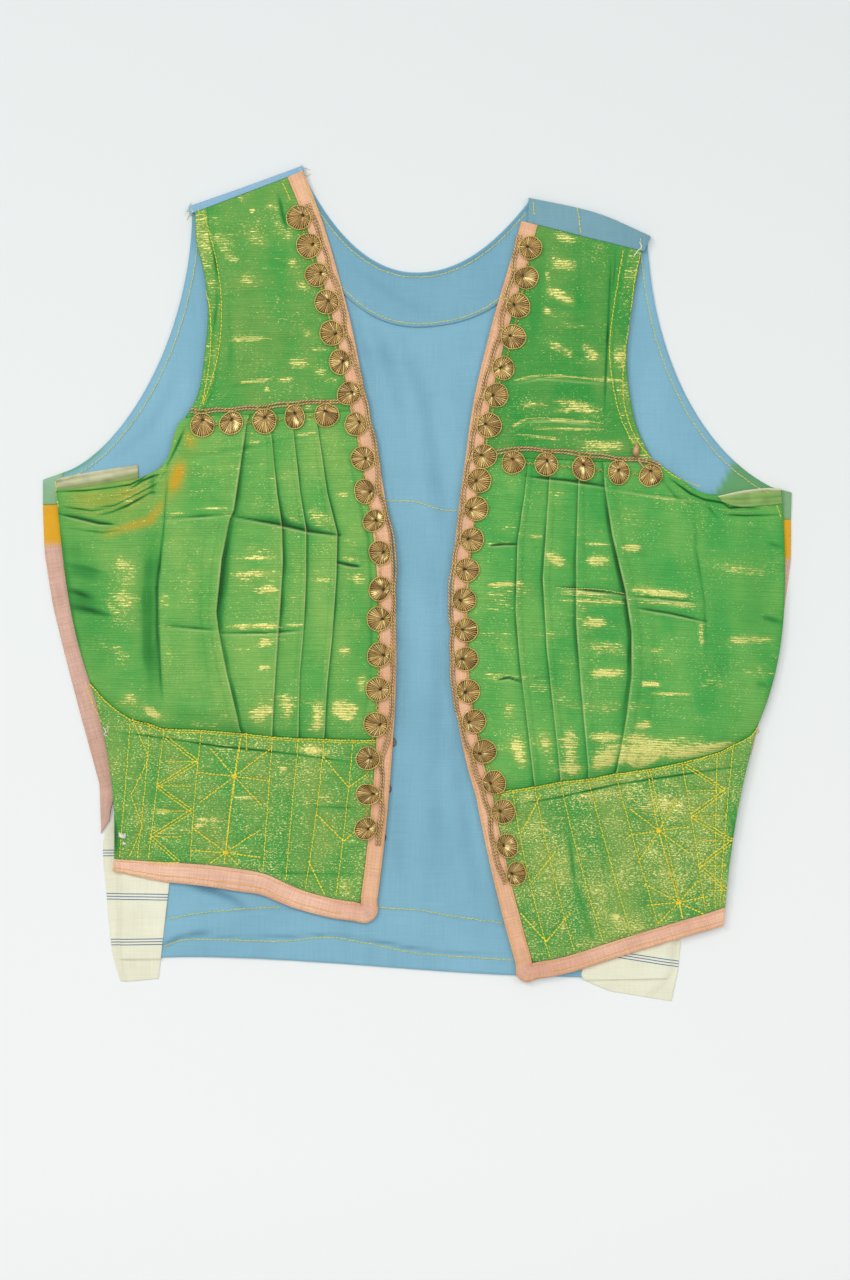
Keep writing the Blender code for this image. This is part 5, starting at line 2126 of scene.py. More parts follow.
@dataclass
class Trim:
    """A double cord with gilt rosettes hung from it."""

    ground: Ground
    name: str
    node: str
    places: tuple
    hand: int
    ends: tuple
    crushed: tuple = ()
    radius: float = 6.9
    rim_gap: float = 0.55
    rim: float = 0.34
    beads: int = 40
    pleats: int = 28
    pleat: tuple = (0.0, 0.52, 0.76)
    rings: tuple = (0.0, 0.1, 0.26, 0.46, 0.66, 0.85, 1.0)
    hole: float = 0.65
    cord_radius: float = 0.62
    cord_gap: float = 1.8
    cord_out: float = 8.3
    cord_bow: float = 0.9
    twist: float = 4.2
    ties: tuple = (-0.35, 0.4)
    tie: float = 1.7

    def __post_init__(self) -> None:
        """Starts its solid and its random draws, and finds where the rosettes are."""
        self.solid = Solid()
        self.random = np.random.default_rng(sum(map(ord, self.name)))
        self.centres = seen(self.places)
        self.outs = outward(self.centres, self.hand)

    def build(self) -> Piece:
        """Makes the rosettes, their wire rims, their knots and the cord.

        Returns:
            The piece.
        """
        for number, (centre, out) in enumerate(zip(self.centres, self.outs)):
            self._rosette(centre, out, number in self.crushed)
        self._knots()
        self._cord()
        return self.solid.piece(self.name, Finish.FOIL, Finish.WIRE, Finish.CORD)

    def _rosette(self, centre: Array, out: Array, crushed: bool) -> None:
        """Adds one rosette: a pleated foil disc round an off-centre hole, in a wire ring.

        Args:
            centre: Where it is.
            out: The way from it to the cord.
            crushed: Whether it is flattened and bent.
        """
        random = self.random
        angles = (np.arange(self.pleats)[:, None] + self.pleat).ravel()
        sides = len(angles)
        angles = angles * math.tau / self.pleats + random.uniform(0, 1)
        radius = self.radius * random.uniform(0.96, 1.03)
        squeeze = random.uniform(0.8, 0.9) if crushed else random.uniform(0.93, 1.0)
        axis = random.uniform(0, math.tau)
        size = radius * (1 - (1 - squeeze) * np.cos(angles - axis) ** 2)
        size = size * (1 + 0.015 * np.sin(3 * angles + axis))
        unit = np.stack([np.cos(angles), np.sin(angles)], axis=1)
        rim = centre + unit * size[:, None]
        middle = centre + out * random.uniform(1.6, 3.0) + random.normal(0, 0.5, 2)
        hole = middle + unit * self.hole * (1 + 0.3 * np.sin(angles * 2 + axis))[:, None]
        base = self.ground.heights([centre, *(centre + unit[::sides // 6] * radius * 0.8)]).max()
        tilt = random.normal(0, 0.08 if crushed else 0.04, 2)
        valley = np.tile([0.0, 0.0, 1.0], self.pleats)
        crinkle = np.repeat(random.uniform(0.4, 1.3, self.pleats), 3)
        swell = (0.8 if crushed else 0.25) * np.sin(2 * angles + axis)
        swell = swell + (0.6 if crushed else 0.15) * np.sin(3 * angles - 2 * axis)
        # Painted light and shade of the pleats' facets: a random tone for each pleat, lighter on its
        # crest.
        tones = np.repeat(random.normal(0.14, 0.2, self.pleats), 3)
        tones = tones - 0.26 * np.tile([1.0, 0.0, 0.0], self.pleats) * crinkle
        tones = tones + 0.1 * np.sin(angles + axis) + 0.08 * np.sin(3 * angles + 2 * axis)
        glints = self._glints(angles, crushed)
        rows, shades = [], []
        for ring in self.rings:
            flat = hole + (rim - hole) * ring
            fold = (0.5 - valley) * crinkle * (0.08 + 0.4 * ring)
            height = base + 1.3 - 0.3 * (1 - ring) ** 2 + 0.12 * math.sin(math.pi * ring)
            height = height + fold + swell * ring**1.5 * 0.5
            rows.append(np.column_stack([flat, height + (flat - centre) @ tilt]))
            # Painted highlights where the spots catch the light.
            light = sum(size * turn * bell(ring - far, wide) for turn, far, wide, size in glints)
            # Painted shade in each pleat's valley, and darker at the hole and round the rim.
            crease = 0.85 * valley * crinkle * (0.5 + 0.5 * ring)
            edge = 0.9 * (ring < 0.05) + 0.2 * (ring < 0.2) + 0.35 * (ring > 0.95)
            shades.append(tones + crease + edge - light)
        self.solid.take(np.concatenate(rows), tube_faces(len(rows), sides), 0,
                        np.concatenate(shades), smooth=False)
        # The hole's floor, painted dark as shade.
        floor = np.column_stack([hole, np.full(sides, base + 0.05)])
        self.solid.take(np.concatenate([floor, rows[0]]), tube_faces(2, sides), 0, 1.2)
        self.solid.take(floor, np.arange(sides)[None], 0, 1.2)
        # The skirt under the rim, painted dark as shade.
        skirt = np.column_stack([centre + (rim - centre) * 0.94, np.full(sides, base + 0.1)])
        self.solid.take(np.concatenate([rows[-1], skirt]), tube_faces(2, sides), 0, 0.9)
        self._rim(centre, rows[-1], base)

    def _glints(self, angles: Array, crushed: bool) -> list[tuple]:
        """Picks the spots of a rosette that catch the light.

        Args:
            angles: The angle of each point round the rosette.
            crushed: Whether it is flattened and bent.

        Returns:
            For each spot, how near each angle is, its place and width along the radius, and
            its strength.
        """
        random = self.random
        spots = []
        for _ in range(random.integers(3, 6) if crushed else random.integers(1, 4)):
            place = random.uniform(-2.4, 0.9) if random.random() < 0.75 else random.uniform(0.9, 3.9)
            turn = np.abs((angles - place + math.pi) % math.tau - math.pi)
            wide = random.uniform(0.12, 0.4) if crushed else random.uniform(0.07, 0.2)
            spots.append((bell(turn, wide), random.uniform(0.1, 0.7 if crushed else 0.4),
                          random.uniform(0.08, 0.24), random.uniform(0.9, 1.6)))
        return spots

    def _rim(self, centre: Array, edge: Array, base: float) -> None:
        """Adds the ring of twisted wire that lies round a rosette's edge.

        Args:
            centre: The rosette's middle.
            edge: The rosette's outermost points.
            base: How high what lies under it is.
        """
        count = self.beads * 3
        spots = np.arange(count) / count
        closed = np.concatenate([edge, edge[:1]])
        line = np.stack([np.interp(spots * len(edge), np.arange(len(closed)), part)
                         for part in closed.T], axis=1)
        reach = line[:, :2] - centre
        far = np.linalg.norm(reach, axis=1)
        sway = 0.12 * np.sin(spots * math.tau * 3 + self.random.uniform(0, 6))
        sway = sway + 0.08 * np.sin(spots * math.tau * 7 + self.random.uniform(0, 6))
        place = centre + reach * ((far + self.rim_gap + sway) / far)[:, None]
        route = np.column_stack([place, 0.35 * line[:, 2] + 0.65 * (base + 1.0)])
        angles = np.arange(6) * math.tau / 6
        bulge = np.abs(np.cos(angles - spots[:, None] * self.beads * math.pi))
        points = tube_points(route, self.rim * (0.72 + 0.4 * bulge), 6)
        # Painted light and shade of the twist: bright on each bead, dark in the grooves.
        shade = 0.75 * (1 - bulge.ravel()) ** 1.2 - 0.35 * bulge.ravel() ** 4
        self.solid.take(points, tube_faces(count, 6, closed=True), 1, shade)

    def _knots(self) -> None:
        """Adds the small wire knots between neighbours and from each rosette to the cord."""
        for first, second in zip(self.centres[:-1], self.centres[1:]):
            run = second - first
            inset = run / np.linalg.norm(run) * (self.radius + 1.0)
            self._knot(first + inset, second - inset)
        for centre, out in zip(self.centres, self.outs):
            for turn in self.ties:
                lean = np.array([out[0] - out[1] * turn, out[1] + out[0] * turn])
                start = centre + lean * (self.radius + 0.9)
                self._knot(start, start + lean * self.tie)

    def _knot(self, start: Array, end: Array) -> None:
        """Adds one short twisted wire.

        Args:
            start: Where it starts.
            end: Where it ends.
        """
        spots = np.linspace(0, 1, 14)
        run = end - start
        size = max(float(np.linalg.norm(run)), 0.6)
        sway = np.sin(spots * math.tau * 2 + self.random.uniform(0, 6)) * 0.55
        line = start + run * spots[:, None] + np.array([-run[1], run[0]]) / size * sway[:, None]
        height = self.ground.height(*((start + end) / 2)) + 0.9
        lifts = height + 0.4 * np.cos(spots * math.tau * 2)
        self.solid.tube(np.column_stack([line, lifts]), 0.3, 5, 1)

    def _cord(self) -> None:
        """Adds the two twisted cords that lie side by side."""
        ends = seen(self.ends)
        near = self.centres + self.outs * self.cord_out
        bow = (self.outs[:-1] + self.outs[1:]) / 2 * self.cord_bow
        inner = np.insert(near, np.arange(1, len(near)), (near[:-1] + near[1:]) / 2 + bow, axis=0)
        route = smoothed(curved(np.concatenate([ends[:1], inner, ends[1:]]), 0.55), 30)
        out = outward(route, self.hand)
        spots = lengths(route)
        for number in (-0.5, 0.5):
            wander = 0.2 * np.sin(spots / 9 + number * 4)
            line = route + out * (number * self.cord_gap + wander)[:, None]
            heights = self.ground.heights(evenly(line, 4.0))[:, 0]
            heights = np.maximum(heights, EDGING_TOP - 0.6)
            far = lengths(line)
            lifts = np.interp(far, np.linspace(0, far[-1], len(heights)), heights)
            lifts = smoothed(lifts, 8) + self.cord_radius
            angles = np.arange(8) * math.tau / 8
            bulge = np.abs(np.cos(angles - spots[:, None] / self.twist * math.tau))
            # Painted light and shade of the twist: bright on each strand's crest, dark between them.
            self.solid.tube(np.column_stack([line, lifts]),
                            self.cord_radius * (0.82 + 0.3 * bulge), 8, 2,
                            0.8 * (1 - bulge.ravel()) ** 1.2 - 0.4 * bulge.ravel() ** 4)


@dataclass
class Stud:
    """A small dark fastener that peeps from under the left front edge."""

    number: int
    x: float
    y: float
    radius: float = 3.2
    sides: int = 28
    profile: tuple = ((0, 0.75), (0.35, 0.72), (0.62, 0.5), (0.78, 0.48), (0.88, 0.66),
                      (0.97, 0.6), (1.0, 0.4), (1.0, 0.0))

    def build(self) -> Piece:
        """Makes it as a low dome with a raised rim.

        Returns:
            The piece.
        """
        first = np.arange(self.sides)
        angles = first * math.tau / self.sides
        rings = []
        for share, height in self.profile:
            size = max(share, 0.02) * self.radius
            rings.append(np.column_stack([
                self.x + np.cos(angles) * size, self.y + np.sin(angles) * size,
                np.full(self.sides, ON_BACK + height * 1.25)]))
        solid = Solid()
        solid.take(np.concatenate(rings), tube_faces(len(rings), self.sides)[:, ::-1])
        solid.take(rings[0], first[None])
        solid.take(rings[-1], first[None, ::-1])
        return solid.piece(f"left_fastener_{self.number}", Finish.METAL)


class Thread(NamedTuple):
    """A loose end of thread: its places in the photo's pixels and its radii in millimetres."""

    line: tuple
    radii: tuple
    finish: int


@dataclass
class LooseEnds:
    """Frayed ends of thread at the corners, bits of paper and the knot of the right row's cord."""

    ground: Ground
    threads: tuple = (
        Thread(((194, 213), (190, 209), (186, 212)), (0.25,), 0),
        Thread(((193, 212), (190, 207), (191, 203)), (0.2,), 1),
        Thread(((194, 215), (189, 216), (187, 220)), (0.22,), 1),
        Thread(((301, 173), (305, 168), (310, 170)), (0.25,), 0),
        Thread(((302, 174), (307, 176), (311, 174)), (0.2,), 1),
        Thread(((300, 171), (302, 167), (301, 164)), (0.2,), 0),
        Thread(((633, 258), (637, 252), (641, 248), (639, 243)), (0.3,), 0),
        Thread(((633, 256), (637, 254), (641, 254)), (0.22,), 0),
        Thread(((104, 727), (107, 731), (105, 734), (109, 736)), (0.25,), 0),
        Thread(((108, 724), (109, 730), (106, 733)), (0.2,), 0),
        Thread(((757, 728), (760, 731), (757, 734)), (0.3,), 0),
        Thread(((120, 832), (122, 835), (125, 836), (126, 833)), (0.5, 1.5, 1.3, 0.4), 0),
        Thread(((124, 841), (125, 843), (127, 843)), (0.3, 0.9, 0.3), 0),
        Thread(((636, 444), (636, 448), (635, 453), (637, 458)), (0.6, 2.0, 2.3, 0.8), 2),
        Thread(((637, 457), (640, 464), (645, 469), (650, 468)), (0.7,), 2),
    )

    def build(self) -> Piece:
        """Lays each one on what is under it.

        Returns:
            The piece.
        """
        solid = Solid()
        for thread in self.threads:
            line = curved(seen(thread.line), 0.5)
            radii = np.interp(np.linspace(0, 1, len(line)),
                              np.linspace(0, 1, len(thread.radii)), thread.radii)
            route = np.concatenate([line, smoothed(self.ground.heights(line), 12)], axis=1)
            route[:, 2] += radii * 0.8 + 0.1
            solid.tube(route, radii[:, None], 6, thread.finish)
        return solid.piece("loose_ends", Finish.WHITE, Finish.PALE, Finish.CORD)


# The setting


@dataclass
class Setting:
    """The pale table, the soft light from above and the camera straight over the garment.

    Its lengths are in metres, apart from the camera's. A panel has a name, a place, a size and
    a power.
    """

    lens: float = 85.0
    sensor: float = 36.0
    floor_size: float = 9.0
    # Painted shade: the paper is darker at the top of the frame than at its bottom.
    near: Colour = paint(243, 245, 243)
    far: Colour = paint(224, 228, 227)
    sky: Colour = (0.98, 0.99, 1.0, 1.0)
    sky_light: float = 0.56
    panels: tuple = (("overhead", (-0.4, 0.5, 2.6), 2.2, 28.0),
                     ("left", (-1.4, 1.2, 1.8), 0.5, 11.0), ("right", (1.6, 0.5, 1.8), 0.5, 5.0))

    def camera(self) -> None:
        """Places the camera where the photo was taken from."""
        data = bpy.data.cameras.new("camera")
        data.lens, data.sensor_width = self.lens, self.sensor
        made = placed("camera", data)
        x, y = seen([PHOTO_CENTRE])[0] * MM
        made.location = (x, y, PHOTO_HEIGHT * PHOTO_SCALE * MM * self.lens / self.sensor)
        bpy.context.scene.camera = made

    def table(self) -> None:
        """Makes the table top."""
        half = self.floor_size / 2
        mesh = bpy.data.meshes.new("table_top")
        mesh.from_pydata([(-half, -half, 0), (half, -half, 0), (half, half, 0), (-half, half, 0)],
                         [], [(0, 1, 2, 3)])
        paper = Surface("table_paper", 0.9, specular=0.1)
        # Painted shade: the paper grows darker towards the top of the frame.
        away = paper.spread(paper.axes(paper.place())[1], -0.36, 0.36)
        paper.put(paper.shader, {"Base Color": paper.blend(away, self.near, self.far)})
        mesh.materials.append(paper.made)
        placed("table_top", mesh)

    def light(self) -> None:
        """Lights the table with a wide soft panel, two small bright ones and a pale room."""
        for name, place, size, power in self.panels:
            data = bpy.data.lights.new(name, "AREA")
            data.shape, data.size, data.energy = "SQUARE", size, power
            made = placed(name, data)
            made.location = place
            made.rotation_mode = "QUATERNION"
            made.rotation_quaternion = (-Vector(place)).to_track_quat("-Z", "Y")
        world = bpy.data.worlds.new("room")
        world.use_nodes = True
        room = world.node_tree.nodes["Background"].inputs
        room["Color"].default_value, room["Strength"].default_value = self.sky, self.sky_light
        bpy.context.scene.world = world

    def build(self) -> None:
        """Makes the whole setting."""
        self.camera()
        self.table()
        self.light()
        bpy.context.scene.view_settings.view_transform = "Standard"


# The two fronts' own values

# Where the gold weft shows with a painted sheen: each row's two ends, its width and its strength.
LEFT_GOLD_SHEEN = (
    (309, 508, 331, 530, 7, 0.7), (242, 559, 280, 558, 1.4, 1.1), (226, 576, 278, 572, 3.5, 1.0),
    (262, 590, 275, 589, 3, 1.7), (226, 627, 260, 626, 1.4, 1.2), (258, 626, 280, 626, 2.2, 1.7),
    (284, 625, 304, 625, 1.2, 1.1), (260, 643, 270, 643, 2.4, 1.8), (259, 668, 271, 667, 1.8, 1.8),
    (311, 580, 331, 580, 3, 1.0), (289, 518, 302, 524, 2.5, 0.9), (340, 558, 360, 560, 2.5, 1.1),
    (351, 576, 365, 584, 4, 1.0), (338, 651, 351, 651, 2.2, 1.5), (336, 495, 349, 495, 2, 1.2),
    (355, 615, 360, 638, 6, 0.7), (331, 704, 358, 716, 9, 2.0), (361, 674, 362, 692, 4, 0.8),
    (318, 700, 318, 732, 6, 1.2), (287, 692, 287, 727, 7, 0.85), (262, 702, 262, 726, 8, 0.9),
    (266, 706, 272, 710, 2, 1.7), (249, 443, 262, 443, 1.6, 1.2), (293, 437, 316, 433, 1.1, 1.6),
    (112, 556, 142, 580, 12, 0.48), (114, 588, 138, 606, 9, 0.52), (108, 612, 138, 630, 9, 0.55),
    (112, 645, 136, 672, 12, 0.58), (116, 560, 136, 570, 4, 0.4), (145, 708, 163, 718, 4, 1.8),
    (126, 694, 138, 704, 5, 0.9),
    (170, 515, 186, 513, 1.2, 1.4), (190, 510, 232, 508, 1.0, 0.9), (162, 595, 168, 602, 3, 0.9),
    (168, 648, 174, 660, 3, 0.6), (180, 540, 200, 600, 16, 0.2), (118, 497, 140, 505, 4, 0.9),
)
RIGHT_GOLD_SHEEN = (
    (487, 545, 511, 543, 1.2, 1.2), (529, 537, 544, 537, 1.5, 1.1), (545, 553, 562, 564, 4.5, 1.5),
    (584, 561, 609, 562, 5, 1.7), (582, 544, 613, 545, 1.2, 1.2), (622, 548, 641, 548, 3, 1.7),
    (486, 585, 521, 584, 1.6, 1.6), (557, 592, 623, 594, 1.6, 1.4), (558, 600, 623, 603, 1.4, 1.1),
    (626, 589, 690, 596, 4, 1.5), (640, 601, 700, 606, 3, 0.9), (586, 622, 603, 623, 3.5, 1.6),
    (585, 645, 622, 650, 5, 0.8), (588, 673, 625, 672, 4, 2.0), (638, 683, 659, 684, 2.5, 1.8),
    (649, 693, 690, 694, 0.8, 1.4), (484, 676, 547, 677, 3, 0.7), (638, 649, 664, 650, 3, 0.8),
    (687, 719, 705, 719, 4, 0.8), (631, 726, 651, 724, 3, 1.4), (512, 733, 524, 770, 7, 0.9),
    (540, 722, 550, 768, 8, 0.95), (568, 724, 572, 772, 8, 1.3), (560, 769, 580, 769, 3, 1.9),
    (588, 737, 622, 735, 4, 1.7), (590, 764, 614, 760, 7, 1.9), (628, 766, 660, 745, 9, 2.0),
    (600, 754, 690, 744, 9, 1.5),
    (624, 738, 650, 735, 5, 1.3), (664, 757, 740, 744, 4.5, 2.0), (716, 566, 766, 574, 5, 0.95),
    (726, 640, 771, 639, 3.5, 1.5), (700, 620, 700, 650, 3, 0.8), (690, 670, 740, 700, 12, 0.35),
    (495, 640, 510, 655, 6, 0.4), (505, 700, 510, 720, 6, 0.6),
)
LEFT_YOKE_GOLD_SHEEN = (
    (216, 234, 234, 258, 9, 0.9), (250, 230, 268, 252, 8, 0.9), (250, 211, 255, 212, 1.8, 2.0),
    (241, 276, 255, 284, 6, 1.25), (291, 261, 296, 266, 3, 1.5), (296, 283, 309, 290, 4, 1.4),
    (266, 207, 280, 210, 3, 1.2), (231, 341, 271, 338, 3, 1.6), (240, 384, 272, 380, 1.3, 1.9),
    (278, 381, 296, 379, 2, 1.3), (289, 366, 309, 364, 5, 1.5), (313, 350, 330, 350, 1.0, 1.7),
    (305, 330, 310, 338, 4, 0.9), (264, 390, 270, 390, 1.5, 1.7), (251, 352, 273, 362, 6, 0.8),
    (276, 220, 280, 231, 4, 1.0), (238, 198, 246, 202, 3, 0.8), (224, 258, 241, 260, 3, 1.1),
    (312, 370, 338, 384, 6, 0.75), (284, 224, 290, 242, 4, 0.6),
    (216, 222, 262, 246, 14, 0.45), (204, 222, 210, 292, 6, 0.28),
)
RIGHT_YOKE_GOLD_SHEEN = (
    (554, 236, 575, 242, 3.5, 1.2), (590, 246, 610, 250, 3, 0.9), (548, 263, 578, 268, 5, 1.1),
    (546, 272, 548, 284, 3, 1.0), (545, 290, 573, 304, 4.5, 1.9), (542, 308, 551, 314, 3, 1.3),
    (549, 345, 574, 356, 4.5, 1.4), (580, 345, 597, 358, 5, 1.3), (514, 381, 541, 376, 0.8, 1.8),
    (541, 376, 575, 378, 0.8, 1.8), (575, 378, 624, 382, 0.8, 1.9), (519, 406, 547, 404, 4, 1.1),
    (555, 402, 600, 413, 5, 1.4), (553, 411, 570, 412, 1.5, 1.6), (513, 427, 527, 419, 0.9, 1.8),
    (527, 419, 602, 423, 1.0, 1.9), (536, 429, 603, 430, 0.9, 1.8), (513, 435, 559, 440, 0.9, 1.5),
    (582, 445, 624, 447, 5, 1.5), (614, 353, 626, 372, 5, 0.8), (603, 376, 608, 382, 2, 1.6),
)


def gleams(rows: Iterable[tuple], share: float = 1.15) -> tuple[Mark, ...]:
    """Marks where the gold shows with a painted sheen, from their ends, width and strength."""
    return tuple(Mark(((ax, ay), (bx, by)), 0.3 + 0.6 * width, 0, 0, shine * share)
                 for ax, ay, bx, by, width, shine in rows)


LEFT_CREASES = (
    Mark(((166, 519), (200, 517), (233, 515)), 0.9, -0.5, 0.5, 0.4, hang=5),
    Mark(((235, 517), (283, 526), (309, 532), (341, 536)), 0.75, -0.9, 1.3, 0.2, hang=6),
    Mark(((338, 563), (350, 566), (360, 567)), 0.75, -0.8, 1.5, 0.2, hang=2),
    Mark(((166, 626), (217, 630)), 0.9, -0.5, 0.7, 0.3, hang=6),
    Mark(((223, 633), (270, 633), (304, 630)), 0.9, -0.4, 0.5, 0.2, hang=4),
    Mark(((62, 515), (79, 519), (99, 524), (115, 525)), 0.6, -0.8, 1.6, hang=4),
    Mark(((182, 458), (211, 454), (251, 447), (293, 439), (317, 435)), 1.6, -0.3, 0.3),
    Mark(((154, 534), (147, 589), (148, 655), (155, 704)), 4.0, -0.4, 0.44),
    Mark(((161, 540), (155, 600), (156, 655), (162, 704)), 3.2, -0.4, 0.38),
    Mark(((158, 545), (158, 640), (163, 698)), 1.4, -0.4, 0.25),
    Mark(((168, 463), (168, 480), (165, 524), (158, 589), (159, 633), (164, 700)), 0.8, -0.4, 0.75),
    Mark(((104, 540), (108, 620), (124, 690)), 8.0, 0.5, 0.0, 0.1),
    Mark(((66, 520), (84, 600), (100, 680)), 14.0, -0.3, 0.46),
    Mark(((66, 564), (112, 574)), 1.6, 0, 0.25),
    Mark(((69, 590), (80, 593), (92, 598)), 1.7, 0, 0.44),
    Mark(((70, 606), (90, 610), (116, 617)), 1.9, 0, 0.5),
    Mark(((68, 570), (112, 580)), 3.4, 0, 0.22),
    Mark(((66, 560), (112, 600), (140, 640)), 7.0, 0.4),
    Mark(((100, 690), (150, 705), (230, 712)), 5.0, 0.4),
    Mark(((182, 462), (172, 492)), 4.4, 0, 0, 0, 1.1),
    Mark(((188, 432), (193, 450)), 4.0, 0, 0, 0, 0.6),
    Mark(((165, 502), (150, 521), (128, 527)), 3.0, 0, 0, 0, 0.8),
    Mark(((134, 526), (101, 536)), 2.8, 0, 0, 0, 0.55),
    Mark(((66, 504), (110, 502), (160, 486)), 11.0, 0, 0, 0, 0.38),
    Mark(((96, 508), (115, 506), (139, 494), (158, 484)), 0.55, -0.5, 0.8, 0.2),
    Mark(((64, 507), (92, 511), (110, 509)), 0.55, -0.5, 0.7, 0.2),
    Mark(((72, 529), (104, 533), (124, 530)), 0.6, -0.4, 0.5),
    Mark(((57, 492), (85, 491), (112, 488), (131, 485), (141, 480), (153, 471), (168, 464)),
         0.55, -0.6, 1.1, 0.1),
    Mark(((62, 496), (90, 496), (126, 492), (148, 482)), 0.7, 0.5, 0.0, 0.45),
    Mark(((98, 516), (114, 512), (128, 506), (139, 500), (151, 493), (162, 493)), 0.7, -0.6, 0.9, 0.3),
    Mark(((129, 491), (143, 481), (155, 476), (167, 474)), 0.7, -0.6, 0.9, 0.3),
    Mark(((118, 507), (140, 492), (156, 484), (168, 468)), 0.9, 0.6, 0.0, 0.3),
    Mark(((154, 474), (153, 496)), 2.4, 0, 0.5),
    Mark(((168, 466), (178, 446), (186, 427)), 0.9, -0.7, 0.9),
    Mark(((100, 500), (140, 488), (164, 471), (182, 434)), 1.3, 0.7, 0.0, 0.3),
    Mark(((234, 522), (227, 560), (223, 600), (222, 627)), 1.3, -0.2, 0.55),
    Mark(((225, 640), (235, 690), (243, 731)), 0.7, -0.2, 0.3),
    Mark(((347, 450), (358, 495), (369, 540), (372, 600), (371, 680), (361, 731)), 1.2, -0.3, 0.45),
    *gleams(LEFT_GOLD_SHEEN),
)
LEFT_YOKE_CREASES = (
    Mark(((230, 388), (271, 381)), 1.3, -0.5, 0.4, 0.3),
    Mark(((214, 222), (218, 300), (206, 400)), 1.2, -0.5, 0.45),
    Mark(((279, 196), (283, 215), (288, 234)), 1.4, -0.5, 0.7),
    Mark(((218, 300), (262, 292), (318, 300)), 2.2, -0.4, 0.2),
    Mark(((224, 344), (262, 338), (300, 344)), 2.6, -0.4, 0.15),
    Mark(((236, 210), (252, 300), (248, 392)), 6.0, -0.4, 0.15),
    Mark(((228, 300), (232, 350), (228, 388)), 2.4, -0.3, 0.35),
    *gleams(LEFT_YOKE_GOLD_SHEEN, 0.95),
)
LEFT_BAND_CREASES = (
    Mark(((112, 731), (142, 735), (179, 740), (219, 746), (279, 752), (353, 762)), 0.6, -0.6, 1.0),
    Mark(((120, 728), (179, 735), (219, 741), (279, 747), (353, 756)), 2.2, 0.25, 0.0, 0.3),
    Mark(((134, 719), (150, 722), (168, 727)), 1.6, -0.6, 1.0),
    Mark(((310, 806), (360, 808)), 1.4, -0.4, 0.5),
    Mark(((266, 872), (350, 874)), 1.2, -0.4, 0.5),
    Mark(((115, 812), (114, 835), (117, 856)), 3.0, 0.9, 0.8),
    *gleams(((279, 768, 288, 768, 1.2, 1.8), (196, 818, 222, 819, 1.3, 1.6),
             (197, 826, 203, 824, 2.0, 1.4), (155, 810, 172, 811, 1.4, 1.4),
             (300, 747, 324, 750, 5, 1.0), (235, 797, 262, 797, 1.2, 1.2),
             (130, 815, 170, 835, 12, 0.5), (338, 880, 352, 893, 6, 0.9))),
)
RIGHT_CREASES = (
    Mark(((526, 477), (566, 481), (606, 487)), 0.8, -0.7, 1.2, 0.1, hang=4),
    Mark(((606, 488), (640, 493), (700, 501)), 0.9, -0.3, 0.3, hang=3),
    Mark(((604, 491), (640, 496), (690, 504)), 0.8, 0.3, 0.0, 0.5),
    Mark(((490, 546), (503, 545), (516, 545)), 0.6, -0.7, 1.5, hang=3),
    Mark(((556, 587), (590, 591), (623, 595)), 0.7, -0.5, 0.9, 0.2, hang=5),
    Mark(((624, 596), (660, 599), (700, 603)), 0.8, -0.4, 0.5, 0.2, hang=3),
    Mark(((634, 608), (670, 614), (706, 622)), 0.7, -0.5, 0.9, 0.1, hang=4),
    Mark(((498, 680), (508, 678), (520, 682)), 0.6, -0.6, 1.1, hang=3),
    Mark(((524, 678), (548, 677)), 0.7, -0.3, 0.5, 0.3),
    Mark(((694, 506), (695, 550), (703, 600), (705, 660)), 1.2, -0.4, 0.5),
    Mark(((745, 520), (755, 580), (748, 660)), 10.0, 0, 0.28),
    Mark(((761, 617), (783, 623)), 2.2, 0, 0.55),
    Mark(((766, 543), (783, 548)), 1.4, 0, 0.45),
    Mark(((704, 685), (716, 685)), 1.0, 0, 0.4),
    Mark(((754, 683), (770, 686)), 1.6, 0, 0.55),
    Mark(((603, 490), (610, 537), (624, 593), (629, 640), (627, 680), (619, 725)), 1.1, -0.2, 0.5),
    Mark(((668, 478), (690, 494), (704, 500), (722, 503), (729, 508), (743, 507), (758, 509)),
         0.65, -0.8, 1.5),
    Mark(((655, 472), (676, 498), (700, 509)), 1.0, -0.5, 0.4, 0.2),
    Mark(((664, 474), (688, 499), (716, 509), (735, 512), (760, 512)), 1.0, 0.7, 0.0, 0.35),
    Mark(((706, 506), (718, 519)), 1.0, -0.4, 0.6),
    Mark(((720, 515), (745, 516), (780, 515)), 0.6, -0.4, 0.9),
    *gleams(RIGHT_GOLD_SHEEN),
)
RIGHT_YOKE_CREASES = (
    Mark(((513, 382), (541, 377), (604, 382)), 1.2, -0.6, 0.3, 0.3, hang=3),
    Mark(((512, 429), (526, 420), (555, 419), (603, 424)), 1.2, -0.6, 0.3, 0.3, hang=3),
    Mark(((611, 247), (608, 320), (605, 380), (604, 428)), 1.0, -0.6, 0.85),
    Mark(((616, 247), (612, 300)), 0.8, -0.4, 0.5),
    Mark(((580, 245), (580, 300), (577, 330)), 2.0, -0.4, 0.22),
    Mark(((540, 300), (575, 292), (612, 300)), 5.0, 0.5),
    Mark(((530, 338), (570, 332), (610, 342)), 2.2, -0.4, 0.2),
    Mark(((545, 235), (540, 300), (528, 370)), 3.0, -0.3, 0.3),
    *gleams(RIGHT_YOKE_GOLD_SHEEN, 0.9),
)
